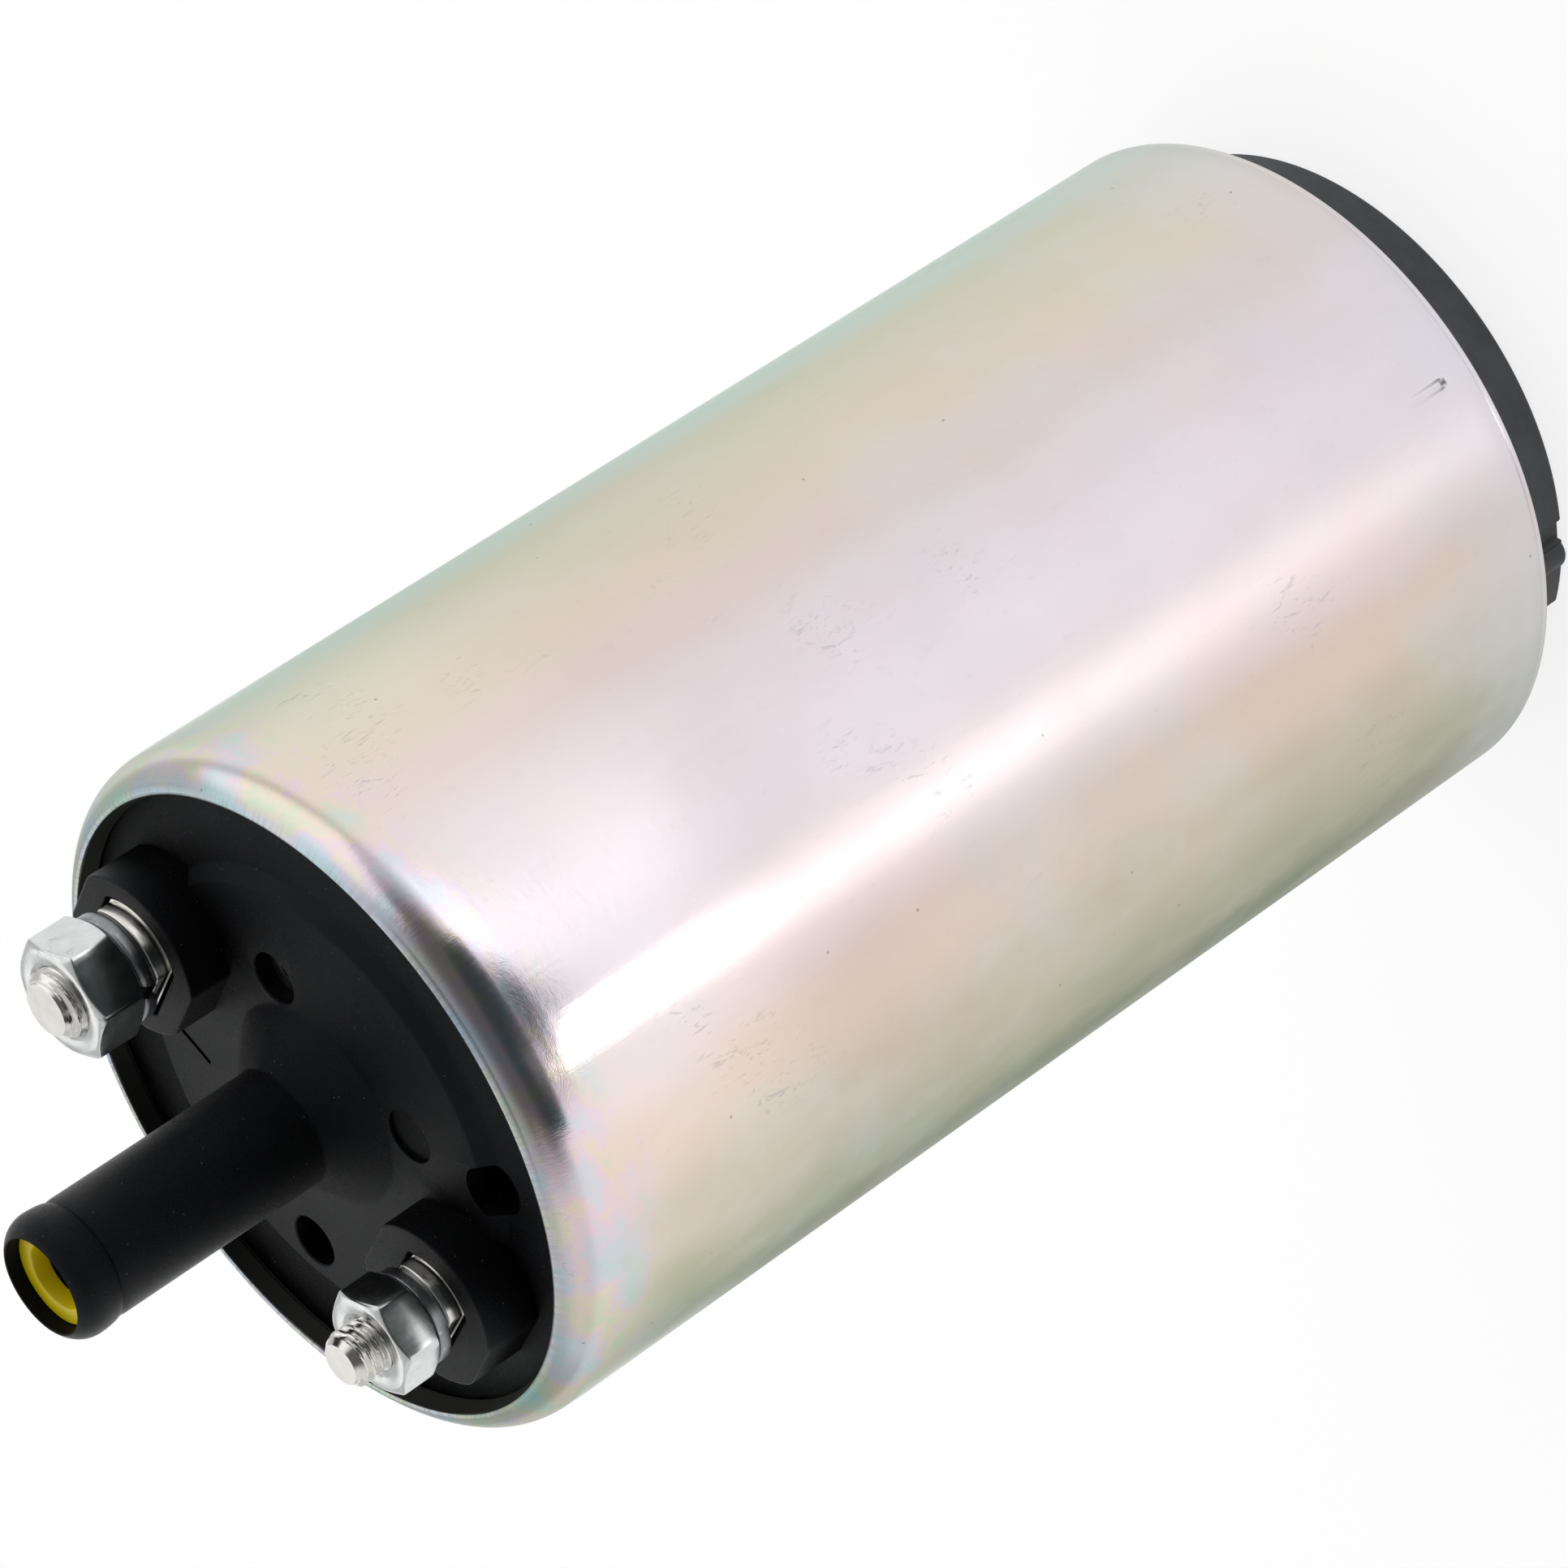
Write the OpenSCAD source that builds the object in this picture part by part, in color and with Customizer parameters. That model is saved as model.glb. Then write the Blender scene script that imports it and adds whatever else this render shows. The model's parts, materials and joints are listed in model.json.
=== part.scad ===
// In-tank electric fuel pump: a turbine stage and a brushed motor in a rolled steel housing.
// Millimetres, +Z up along the pump axis towards the outlet. The origin is on the axis, at the
// foot of the inlet cover, so the pump stands upright. The larger terminal lies along +X.

/* [Housing] */
// Outside diameter of the steel housing
body_d = 51; // [50:0.5:54]
// Length of the housing over its ends
body_len = 93.5; // [92.5:0.1:104]
// Thickness of the steel wall
wall = 1.6; // [1.2:0.1:1.9]
// Outside radius of the rolled front end
roll_r = 3.2; // [2.8:0.1:3.8]
// How far the front edge is turned in, in degrees
front_turn = 72; // [62:1:80]
// Outside radius of the rear corner, where the housing is turned flat in
rear_edge = 0.4; // [0.2:0.1:0.8]
// Gap between the housing and what it holds
fit_gap = 0.1; // [0.05:0.05:0.2]
// Length of the pressed locating mark near the rear edge
mark_len = 3.6; // [2.4:0.2:5]
// Width of the pressed locating mark
mark_w = 0.8; // [0.5:0.1:1.2]
// Depth of the pressed locating mark
mark_depth = 0.35; // [0.2:0.05:0.5]
// Distance from the rear edge to the pressed mark
mark_up = 2.9; // [2.5:0.1:6]

/* [Outlet cover] */
// Gap between the lip of the housing and the ring face below it
lip_gap = 0.18; // [0.1:0.02:0.4]
// Height of the raised middle above the ring face
plateau_rise = 0.97; // [0.6:0.05:1.4]
// Distance from the shell's outside in to the raised middle
plateau_inset = 9; // [8.6:0.1:9.4]
// Run of the sloped band around the raised middle
band_run = 0.97; // [0.5:0.05:1.3]
// Thickness of the cover below the ring face
cover_t = 3.8; // [3.4:0.1:4.4]
// Depth of the skirt below the cover
skirt_h = 7.4; // [6.8:0.1:8]
// Thickness of the skirt
skirt_t = 2.8; // [2:0.1:3.2]
// Radius of the flared foot of the outlet pipe
flare_r = 7.5; // [6.6:0.1:8.2]
// Height of the flared foot
flare_h = 3.13; // [2.6:0.05:3.6]
// Height of the terminal bosses above the lip
boss_rise = 2.62; // [2:0.05:3.4]
// Radius of the terminal bosses
boss_r = 6; // [5.6:0.1:6.3]
// Width of a terminal boss between its flats
boss_flat = 10.9; // [10:0.1:11.4]
// Depth of the blind round recess in the raised middle
blind_depth = 3.6; // [1:0.1:3.6]
// Radius of the two round holes in the raised middle
port_r = 1.9; // [1.8:0.05:2]
// Depth of the blind round recess that crosses the band, below the ring face
band_depth = 2.6; // [1:0.1:2.8]
// Depth of the shallow round dimple
dimple_depth = 0.35; // [0.2:0.05:0.6]

/* [Outlet pipe] */
// Outside radius of the outlet pipe
pipe_r = 4.35; // [4.25:0.05:4.6]
// Bore radius of the outlet pipe
pipe_bore = 3.5; // [3.45:0.05:3.6]
// Distance from the lip of the housing to the tip of the pipe
pipe_reach = 22.75; // [22:0.25:30]
// Radius of the hose bead
bead_r = 4.55; // [4.5:0.05:5]
// Length from the bead's step to the tip
bead_len = 3.35; // [3:0.05:4.5]
// Radius of the rounded nose
nose_r = 2; // [1.8:0.1:2.2]
// Depth of the step behind the bead
step_depth = 0.12; // [0.05:0.01:0.25]

/* [Terminals] */
// Distance from the shell's outside in to a terminal's centre
stud_inset = 10.25; // [10:0.05:10.4]
// Thread diameter of the larger terminal
large_d = 5; // [4.5:0.1:5.2]
// Thread diameter of the smaller terminal
small_d = 4; // [3.5:0.1:4.4]
// Nut width across flats on the larger terminal
large_af = 8; // [7.8:0.1:8.4]
// Nut width across flats on the smaller terminal
small_af = 7; // [6.8:0.1:7.4]
// Nut thickness on the larger terminal
large_nut_h = 4; // [3:0.1:4.4]
// Nut thickness on the smaller terminal
small_nut_h = 3.2; // [2.4:0.1:4]
// Outside diameter of the larger lock washer
large_washer_d = 8; // [7.6:0.1:8.4]
// Outside diameter of the smaller lock washer
small_washer_d = 7; // [6.6:0.1:7.4]
// Thickness of the larger lock washer
large_washer_t = 1.2; // [0.9:0.05:1.4]
// Thickness of the smaller lock washer
small_washer_t = 0.9; // [0.7:0.05:1.2]
// Diameter of the larger terminal's shoulder
large_shoulder_d = 8.6; // [8.4:0.1:9]
// Diameter of the smaller terminal's shoulder
small_shoulder_d = 7.9; // [7.4:0.1:8.4]
// Width between the flats of the larger shoulder
large_shoulder_af = 6.4; // [6:0.1:7]
// Width between the flats of the smaller shoulder
small_shoulder_af = 5.2; // [4.8:0.1:6]
// Height of the shoulders above their bosses
shoulder_rise = 0.98; // [0.6:0.02:1.4]
// Depth of the shoulders' pockets
pocket_depth = 1; // [0.6:0.1:1.4]
// Thread that stands past the larger nut
large_past = 1.1; // [0.8:0.1:3]
// Thread that stands past the smaller nut
small_past = 2.35; // [1:0.05:4]

/* [Inlet cover] */
// How far the inlet cover stands out of the housing
foot_h = 5.5; // [4.9:0.1:7]
// Distance from the shell's outside in to the rim of the foot
foot_inset = 3.4; // [3.3:0.1:4]
// Thickness of the inlet cover inside the housing
inlet_t = 8.5; // [8.1:0.1:11]
// Radius of the socket that takes the strainer
inlet_r = 4.6; // [4:0.1:4.8]
// Depth of the strainer socket
inlet_depth = 8; // [6.5:0.1:9.4]
// Distance from the shell's outside in to the axis of the socket
inlet_inset = 12.5; // [12.3:0.1:12.8]
// Depth of the shallow recess under the foot
sole_depth = 1.2; // [0.6:0.1:2]

/* [Pump stage] */
// Distance from the shell's outside in to the rim of the impeller
impeller_inset = 8; // [7.4:0.1:8.6]
// Thickness of the impeller
impeller_t = 3.8; // [3:0.1:4.6]
// Number of vane pockets in the impeller
vane_count = 32; // [24:1:36]
// Gap on each side of the impeller
side_gap = 0.1; // [0.05:0.01:0.2]
// Gap around the impeller's rim
rim_gap = 0.2; // [0.1:0.05:0.4]
// Depth of the flow channel on each side
channel_depth = 1.8; // [1.2:0.1:2.2]
// Thickness of the pump casing
casing_t = 11; // [10:0.1:12]
// Height of the casing's hub above its deck
hub_rise = 2.5; // [2:0.1:3.2]

/* [Motor] */
// Room between the pump casing's hub and the lower end windings
hub_gap = 4.2; // [3:0.1:6]
// Room between the upper end windings and the commutator
winding_gap = 1.65; // [1.2:0.05:3]
// Thickness of the magnets
magnet_t = 6.6; // [6.2:0.1:7]
// Angle that each magnet covers
magnet_arc = 136; // [120:1:140]
// Air gap between the magnets and the armature
air_gap = 0.6; // [0.4:0.05:1]
// How much shorter the core is than the magnets, at each end
core_inset = 4; // [2:0.1:6]
// Number of armature slots and commutator bars
slot_count = 8; // [6:1:10]
// Height of the end windings
winding_h = 5; // [4:0.1:5.4]
// Thickness of the end insulators
insulator_t = 1; // [0.6:0.1:1.2]
// Radius of the armature shaft
shaft_r = 2.5; // [2.2:0.05:2.6]
// Running clearance of the shaft in its bushes, on the radius
shaft_clear = 0.02; // [0.015:0.005:0.05]
// Outside radius of both bushes
bush_r = 4.5; // [4:0.1:4.7]
// Length of the upper bush
upper_bush_len = 6; // [4:0.1:7]
// Length of the lower bush
lower_bush_len = 7.5; // [5:0.1:8]
// Outside radius of the commutator
commutator_r = 12; // [11.5:0.1:13]
// Thickness of the commutator bars
bar_t = 2; // [1.4:0.1:2.4]
// Thickness of the commutator's moulded base
commutator_t = 5; // [4:0.1:5.4]
// Room between the commutator and the bearing holder's web
bar_gap = 3.5; // [2.5:0.1:4.5]

/* [Brush gear] */
// Brush width along the commutator
brush_w = 4.6; // [4:0.1:4.8]
// Brush depth across the commutator
brush_d = 5.4; // [5:0.1:5.6]
// Brush length
brush_len = 8; // [7:0.1:9]
// Distance from the axis to a brush centre
brush_offset = 8.6; // [8.5:0.05:8.8]
// Sliding clearance of the brushes in their guides
brush_clear = 0.15; // [0.08:0.01:0.25]
// Wall of the brush guides
guide_wall = 1.1; // [0.8:0.1:1.2]
// Wire diameter of the brush springs
brush_wire = 0.45; // [0.3:0.05:0.5]
// Thickness of the bearing holder's web
web_t = 2; // [1.6:0.1:2.4]
// Distance of the chokes from the axis
choke_offset = 13.5; // [13.2:0.1:14]
// Radius of the choke cores
choke_r = 1.6; // [1.2:0.1:1.7]
// Length of the choke cores
choke_len = 12; // [10:0.5:13]
// Wire diameter of the choke coils
choke_wire = 0.8; // [0.5:0.05:0.8]

/* [Valves] */
// Distance from the pipe's tip to the face of the valve retainer
retainer_sink = 1.15; // [0.8:0.05:2]
// Thickness of the valve retainer
retainer_t = 1.3; // [1:0.1:2]
// Radius of the retainer's hole at its face
retainer_hole = 2.4; // [2.1:0.05:2.5]
// Radius of the feed passage below the check valve
feed_r = 2.2; // [1.8:0.05:2.3]
// Wire diameter of the check valve spring
check_wire = 0.5; // [0.3:0.05:0.55]
// Radius of the relief valve ball
ball_r = 1.7; // [1.5:0.05:1.75]
// Wire diameter of the relief spring
relief_wire = 0.35; // [0.25:0.05:0.4]
// Distance from the raised middle down to the relief retainer
relief_sink = 1.3; // [0.8:0.1:1.6]

/* [Hidden] */

// Facets of round surfaces, and a small overlap for cuts
$fn = 96;
cut = 0.5;
// Gap between pieces that rest on each other, and of pressed-in round pieces
seat = 0.05;
press = 0.03;

// Housing
body_r = body_d / 2;
bore_r = body_r - wall;
held_r = bore_r - fit_gap;
roll_axis_r = body_r - roll_r;
plateau_r = body_r - plateau_inset;
stud_x = body_r - stud_inset;
foot_r = body_r - foot_inset;
impeller_r = body_r - impeller_inset;
inlet_offset = body_r - inlet_inset;
inner_roll = roll_r - wall;
z_rear = foot_h;
z_lip = z_rear + body_len;
z_front_roll = z_lip - roll_r * sin(front_turn);
z_rear_lip = z_rear + wall;

// Outlet cover
z_ring = z_front_roll + inner_roll * sin(front_turn) - lip_gap;
z_plateau = z_ring + plateau_rise;
z_under = z_ring - cover_t;
z_skirt = z_under - skirt_h;
skirt_in = held_r - skirt_t;
z_tip = z_lip + pipe_reach;
z_step = z_tip - bead_len;
nose_sweep = acos((pipe_bore - bead_r + nose_r) / nose_r);
z_bead = z_tip - nose_r * sin(nose_sweep);
z_boss = z_lip + boss_rise;
z_pocket = z_boss - pocket_depth;
pocket_clear = 0.35;
head_r = 3.6;
head_t = 1.3;
z_shoulder = z_boss + shoulder_rise;
relief_at = place(9.6, -45.2);
blind_at = place(13.75, 108.6);
dimple_at = place(9.84, -135.5);
band_at = place(plateau_r + 0.5, -144.5);
groove_w = 0.4;
groove_y = 7.8;
groove_x = [8.4, 13.5];

// Inlet end
z_inlet_top = z_rear + inlet_t;
inlet_angle = -156;
shallow_notch = [-149.6, -144.6];
deep_notch = [-176, -163.5];
lug_angle = -152.4;
lug_r = 1.35;
lug_proud = 0.4;
notch_floor = 0.7;
channel_rim = 0.3;
channel_out = impeller_r - channel_rim;
channel_w = 3.6;
channel_mid = channel_out - channel_w / 2;
channel_from = inlet_angle - 12;
channel_to = inlet_angle + 300;
pad_r = 3.1;
pad_t = 2;
shaft_flat = 0.6;

// Pump stage
chamber_h = impeller_t + 2 * side_gap;
z_impeller = z_inlet_top + side_gap;
z_chamber_top = z_inlet_top + chamber_h;
z_casing_top = z_inlet_top + casing_t;
z_casing_hub = z_casing_top + hub_rise;
hub_r = 7;
lower_bush_sink = 5.5;
z_lower_bush = z_casing_top - lower_bush_sink;
pad_sink = 2.4;
z_pad_top = z_inlet_top - pad_sink;

// Bearing holder and commutator
z_web_top = z_skirt - seat;
z_web = z_web_top - web_t;
z_commutator = z_web - bar_gap;
z_bars = z_commutator - bar_t;
z_commutator_base = z_bars - commutator_t;

// Armature and magnets, from the room that the end windings have at both ends
magnet_out = held_r;
magnet_in = magnet_out - magnet_t;
core_r = magnet_in - air_gap;
z_winding_low = z_casing_hub + hub_gap;
z_winding_high = z_commutator_base - winding_gap;
z_core = z_winding_low + winding_h + insulator_t + 2 * seat;
z_core_top = z_winding_high - winding_h - insulator_t - 2 * seat;
z_magnet = z_core - core_inset;
z_magnet_top = z_core_top + core_inset;
tooth_tip = 1.5;
slot_in = 7.6;
slot_out = core_r - tooth_tip;
slot_half_in = 12.8 / slot_count;
slot_half_out = 33.6 / slot_count;
slot_mouth = 2.2;
bar_in = 5;
bar_seat = 0.4;
winding_in = 6.5;
insulation = 0.3;

// Brush gear
z_brush = z_commutator + seat;
z_brush_top = z_brush + brush_len;
guide_gap = 1;
z_guide_top = z_under - guide_gap;
spring_pocket_h = 2.4;
z_spring_top = z_under + spring_pocket_h;
spring_pocket_r = 2.6;
brush_spring_r = 1.7;
bush_wall = 1.8;
bush_hub_r = bush_r + bush_wall;
bush_floor = 1.5;
bush_rim = 0.5;
z_upper_bush = z_web + bush_floor;
z_hub_top = z_upper_bush + upper_bush_len + bush_rim;
choke_drop = 4.1;
z_choke = z_under - choke_drop;
choke_margin = 2.2;
tail_len = 1.2;
lead_r = 0.45;
lead_rise = 0.8;
z_lead = z_web_top + lead_rise;
per_turn = 8;
coil_r = (choke_r + choke_wire / 2 + seat) / cos(180 / per_turn);
z_lead_top = z_choke + coil_r - choke_wire / 2;

// Check valve
seat_rise = 6.7;
z_seat_top = z_plateau + seat_rise;
z_retainer_top = z_tip - retainer_sink;
z_retainer = z_retainer_top - retainer_t;
poppet_gap = 0.1;
poppet_r = pipe_bore - poppet_gap;
seal_gap = 0.3;
seal_r = pipe_bore - seal_gap;
seal_rim = 0.6;
seal_rise = 0.4;
z_seal_top = z_seat_top + seal_rise;
poppet_head = 0.8;
z_poppet_top = z_seal_top + poppet_head;
poppet_nose = 4.6;
spring_gap = 0.65;
check_spring_r = pipe_bore - spring_gap - check_wire / 2;

// Relief valve
relief_wall = 0.8;
relief_boss_r = port_r + relief_wall;
relief_depth = 3.2;
relief_floor = 1.4;
z_relief_seat = z_under - relief_depth;
relief_seat_r = 1.1;
relief_hole = 0.8;
z_ball = z_relief_seat + sqrt(ball_r * ball_r - relief_seat_r * relief_seat_r) + seat;
relief_ring_t = 0.8;
z_relief_ring = z_plateau - relief_sink - relief_ring_t;
relief_spring_r = 1.2;
relief_touch = sqrt(pow(ball_r + relief_wire / 2, 2) - relief_spring_r * relief_spring_r);
z_relief_spring = z_ball + relief_touch - relief_wire / 2;

// A point at a radius and an angle
function place(r, angle) = [r * cos(angle), r * sin(angle)];

// Points of an arc about a centre, in an (r, z) half plane
function arc(c, r, a0, a1, n = 8) =
    [for (i = [0:n]) let (a = a0 + (a1 - a0) * i / n) [c[0] + r * cos(a), c[1] + r * sin(a)]];

// Points of a sector's outline, wide enough to cut rings up to radius r
function wedge(r, a0, a1, n = 6) =
    concat([[0, 0]], [for (i = [0:n]) let (a = a0 + (a1 - a0) * i / n) 1.3 * r * [cos(a), sin(a)]]);

// A point of the curve that leaves a towards b and arrives at c
function bend(a, b, c, s) = (1 - s) * (1 - s) * a + 2 * s * (1 - s) * b + s * s * c;

// Sweep helpers: a ring of points square to a direction, and the mesh that joins such rings
function unit(v) = v / norm(v);
function frame_u(t) = unit(cross(t, abs(t[2]) < 0.9 ? [0, 0, 1] : [1, 0, 0]));
function tangent(path, i) = unit(path[min(i + 1, len(path) - 1)] - path[max(i - 1, 0)]);
function ring_points(p, t, r, sides) =
    let (u = frame_u(t), v = cross(t, u))
    [for (k = [0:sides - 1]) p + r * (cos(360 * k / sides) * u + sin(360 * k / sides) * v)];

module tube_along(path, r, sides = 6) {
    n = len(path);
    points = [for (i = [0:n - 1]) each ring_points(path[i], tangent(path, i), r, sides)];
    sides_a = [for (i = [0:n - 2], k = [0:sides - 1])
        [i * sides + k, (i + 1) * sides + k, (i + 1) * sides + (k + 1) % sides]];
    sides_b = [for (i = [0:n - 2], k = [0:sides - 1])
        [i * sides + k, (i + 1) * sides + (k + 1) % sides, i * sides + (k + 1) % sides]];
    first_cap = [[for (k = [0:sides - 1]) k]];
    last_cap = [[for (k = [sides - 1:-1:0]) (n - 1) * sides + k]];
    polyhedron(points = points, faces = concat(sides_a, sides_b, first_cap, last_cap));
}

// Helix path along +Z between two heights of the wire's centre line
function helix(r, z0, z1, turns) =
    [for (i = [0:turns * per_turn]) let (s = i / (turns * per_turn))
        [r * cos(360 * turns * s), r * sin(360 * turns * s), z0 + (z1 - z0) * s]];

module compression_spring(r, wire, z0, z1, turns) {
    tube_along(helix(r, z0 + wire / 2 + seat, z1 - wire / 2 - seat, turns), wire / 2);
}

module ring_sector(r_in, r_out, a0, a1) {
    intersection() {
        difference() {
            circle(r_out);
            circle(r_in);
        }
        polygon(wedge(r_out, a0, a1));
    }
}

// A circle cut by two flats that face along X
module double_flat(r, af) {
    intersection() {
        circle(r);
        square([af, 3 * r], center = true);
    }
}

// Housing
module housing_profile() {
    polygon(concat(
        [[foot_r + fit_gap, z_rear]],
        arc([body_r - rear_edge, z_rear + rear_edge], rear_edge, -90, 0, 3),
        arc([roll_axis_r, z_front_roll], roll_r, 0, front_turn),
        arc([roll_axis_r, z_front_roll], inner_roll, front_turn, 0),
        [[bore_r, z_rear_lip], [foot_r + fit_gap, z_rear_lip]]
    ));
}

module pressed_mark() {
    mark_angle = -108.2;
    rotate([0, 0, mark_angle])
        translate([body_r - mark_depth, 0, z_rear + mark_up])
            rotate([0, 90, 0])
                linear_extrude(wall)
                    hull()
                        for (end = [mark_w / 2, mark_len - mark_w / 2])
                            translate([-end, 0])
                                circle(mark_w / 2, $fn = 24);
}

module housing() {
    color("silver")
        difference() {
            rotate_extrude()
                housing_profile();
            pressed_mark();
        }
}

// Outlet cover with its pipe, bosses, holes and guides for the brush springs
module outlet_profile() {
    ring_angle = asin((z_ring - z_front_roll) / (inner_roll - fit_gap));
    bead_back = [for (i = [0:5]) let (a = 18 * i)
        [pipe_r - step_depth + (bead_r - pipe_r + step_depth) * sin(a),
         z_bead - (z_bead - z_step) * cos(a)]];
    polygon(concat(
        [[skirt_in, z_skirt], [held_r, z_skirt]],
        arc([roll_axis_r, z_front_roll], inner_roll - fit_gap, 0, ring_angle, 5),
        [[plateau_r + band_run, z_ring], [plateau_r, z_plateau]],
        [[flare_r, z_plateau], [pipe_r, z_plateau + flare_h], [pipe_r, z_step]],
        bead_back,
        arc([bead_r - nose_r, z_bead], nose_r, 6, nose_sweep, 7),
        [[pipe_bore, z_seat_top],
         [feed_r, z_seat_top - (pipe_bore - feed_r)],
         [feed_r, z_under],
         [skirt_in, z_under]]
    ));
}

module boss(side) {
    translate([side * stud_x, 0, z_ring - 1])
        linear_extrude(z_boss - z_ring + 1)
            double_flat(boss_r, boss_flat);
}

module stud_cut(shoulder_r, shoulder_af, thread_r) {
    translate([0, 0, z_pocket])
        linear_extrude(pocket_depth + cut)
            double_flat(shoulder_r + pocket_clear / 2, shoulder_af + 2 * pocket_clear);
    translate([0, 0, z_under - cut])
        cylinder(r = thread_r + press, h = z_pocket - z_under + 2 * cut);
}

module relief_boss() {
    translate([relief_at[0], relief_at[1], z_relief_seat - relief_floor])
        cylinder(r = relief_boss_r, h = relief_depth + relief_floor + cut);
}

module relief_cut() {
    translate([relief_at[0], relief_at[1], 0]) {
        translate([0, 0, z_relief_seat])
            cylinder(r = port_r, h = z_plateau - z_relief_seat + cut);
        translate([0, 0, z_relief_seat - relief_floor - cut])
            cylinder(r = relief_seat_r, h = relief_floor + 2 * cut);
    }
}

module blind_recess(at, r, depth, top) {
    translate([at[0], at[1], top - depth])
        cylinder(r = r, h = depth + cut);
}

module cover_groove() {
    translate([groove_x[0], groove_y - groove_w / 2, z_plateau - groove_w])
        cube([groove_x[1] - groove_x[0], groove_w, groove_w + cut]);
}

module outlet_cover() {
    color([0.09, 0.09, 0.1])
        difference() {
            union() {
                rotate_extrude()
                    outlet_profile();
                boss(1);
                boss(-1);
                relief_boss();
            }
            translate([stud_x, 0, 0])
                stud_cut(large_shoulder_d / 2, large_shoulder_af, large_d / 2);
            translate([-stud_x, 0, 0])
                stud_cut(small_shoulder_d / 2, small_shoulder_af, small_d / 2);
            relief_cut();
            blind_recess(blind_at, port_r, blind_depth, z_plateau);
            blind_recess(dimple_at, port_r + 0.05, dimple_depth, z_plateau);
            blind_recess(band_at, port_r + 0.1, band_depth + plateau_rise, z_plateau);
            cover_groove();
            for (side = [1, -1])
                translate([0, side * brush_offset, z_under - cut])
                    cylinder(r = spring_pocket_r, h = z_spring_top - z_under + cut);
        }
}

// Terminals: a moulded-in stud with a flatted shoulder, a split washer and a nut on each
module terminal_stud(side, d, shoulder_d, shoulder_af, z_end) {
    tip = 0.55;
    color([0.78, 0.76, 0.72])
        translate([side * stud_x, 0, 0]) {
            translate([0, 0, z_pocket + seat])
                linear_extrude(z_shoulder - z_pocket - seat)
                    double_flat(shoulder_d / 2, shoulder_af);
            rotate_extrude()
                polygon([
                    [0, z_under - head_t], [head_r, z_under - head_t],
                    [head_r, z_under - seat], [d / 2, z_under - seat],
                    [d / 2, z_end - tip], [d / 2 - tip, z_end], [0, z_end]
                ]);
        }
}

module lock_washer(side, inner_d, outer_d, thickness, split_angle) {
    split_w = 0.9;
    color([0.6, 0.6, 0.62])
        translate([side * stud_x, 0, z_shoulder])
            difference() {
                cylinder(d = outer_d, h = thickness);
                translate([0, 0, -cut])
                    cylinder(d = inner_d + 0.2, h = thickness + 2 * cut);
                rotate([0, 0, split_angle])
                    translate([outer_d / 2, 0, thickness / 2])
                        rotate([25, 0, 0])
                            cube([outer_d, split_w, 3 * thickness + 1], center = true);
            }
}

module hex_nut(side, d, af, h, z0, turn) {
    corner_r = af / sqrt(3);
    face_r = 0.475 * af;
    bevel = (corner_r - face_r) * tan(30);
    color([0.68, 0.69, 0.7])
        translate([side * stud_x, 0, z0])
            difference() {
                intersection() {
                    rotate([0, 0, turn])
                        cylinder(r = corner_r, h = h, $fn = 6);
                    rotate_extrude()
                        polygon([
                            [0, 0], [face_r, 0], [corner_r, bevel],
                            [corner_r, h - bevel], [face_r, h], [0, h]
                        ]);
                }
                rotate_extrude()
                    polygon([
                        [0, -cut], [d / 2 + 0.4, -cut], [d / 2 + 0.4, 0], [d / 2 + press, 0.4],
                        [d / 2 + press, h - 0.4], [d / 2 + 0.4, h], [d / 2 + 0.4, h + cut],
                        [0, h + cut]
                    ]);
            }
}

z_large_nut = z_shoulder + large_washer_t;
z_small_nut = z_shoulder + small_washer_t;
large_end = z_large_nut + large_nut_h + large_past;
small_end = z_small_nut + small_nut_h + small_past;

module terminal_stud_large() {
    terminal_stud(1, large_d, large_shoulder_d, large_shoulder_af, large_end);
}

module terminal_stud_small() {
    terminal_stud(-1, small_d, small_shoulder_d, small_shoulder_af, small_end);
}

module terminal_washer_large() {
    lock_washer(1, large_d, large_washer_d, large_washer_t, -150);
}

module terminal_washer_small() {
    lock_washer(-1, small_d, small_washer_d, small_washer_t, -30);
}

module terminal_nut_large() {
    hex_nut(1, large_d, large_af, large_nut_h, z_large_nut, -81);
}

module terminal_nut_small() {
    hex_nut(-1, small_d, small_af, small_nut_h, z_small_nut, -79);
}

// Check valve in the outlet pipe
module check_valve_retainer() {
    edge = 0.15;
    color("gold")
        rotate_extrude()
            polygon([
                [retainer_hole - 0.3, z_retainer], [pipe_bore - press, z_retainer],
                [pipe_bore - press, z_retainer_top - edge],
                [pipe_bore - press - edge, z_retainer_top],
                [retainer_hole, z_retainer_top - edge]
            ]);
}

module check_valve_spring() {
    color("lightsteelblue")
        compression_spring(check_spring_r, check_wire, z_poppet_top, z_retainer, 7);
}

module check_valve_poppet() {
    guide_gap = 0.35;
    guide_r = check_spring_r - check_wire / 2 - guide_gap;
    chamfer = 0.6;
    groove_r = 1.1;
    color("ivory")
        difference() {
            rotate_extrude()
                polygon([
                    [0, z_seal_top], [poppet_r, z_seal_top], [poppet_r, z_poppet_top],
                    [guide_r, z_poppet_top], [guide_r, z_poppet_top + poppet_nose - chamfer],
                    [guide_r - chamfer, z_poppet_top + poppet_nose],
                    [0, z_poppet_top + poppet_nose]
                ]);
            for (i = [0:3])
                rotate([0, 0, 90 * i + 45])
                    translate([seal_r + groove_r / 2, 0, z_seal_top - cut])
                        cylinder(r = groove_r, h = poppet_head + 2 * cut);
        }
}

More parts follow.
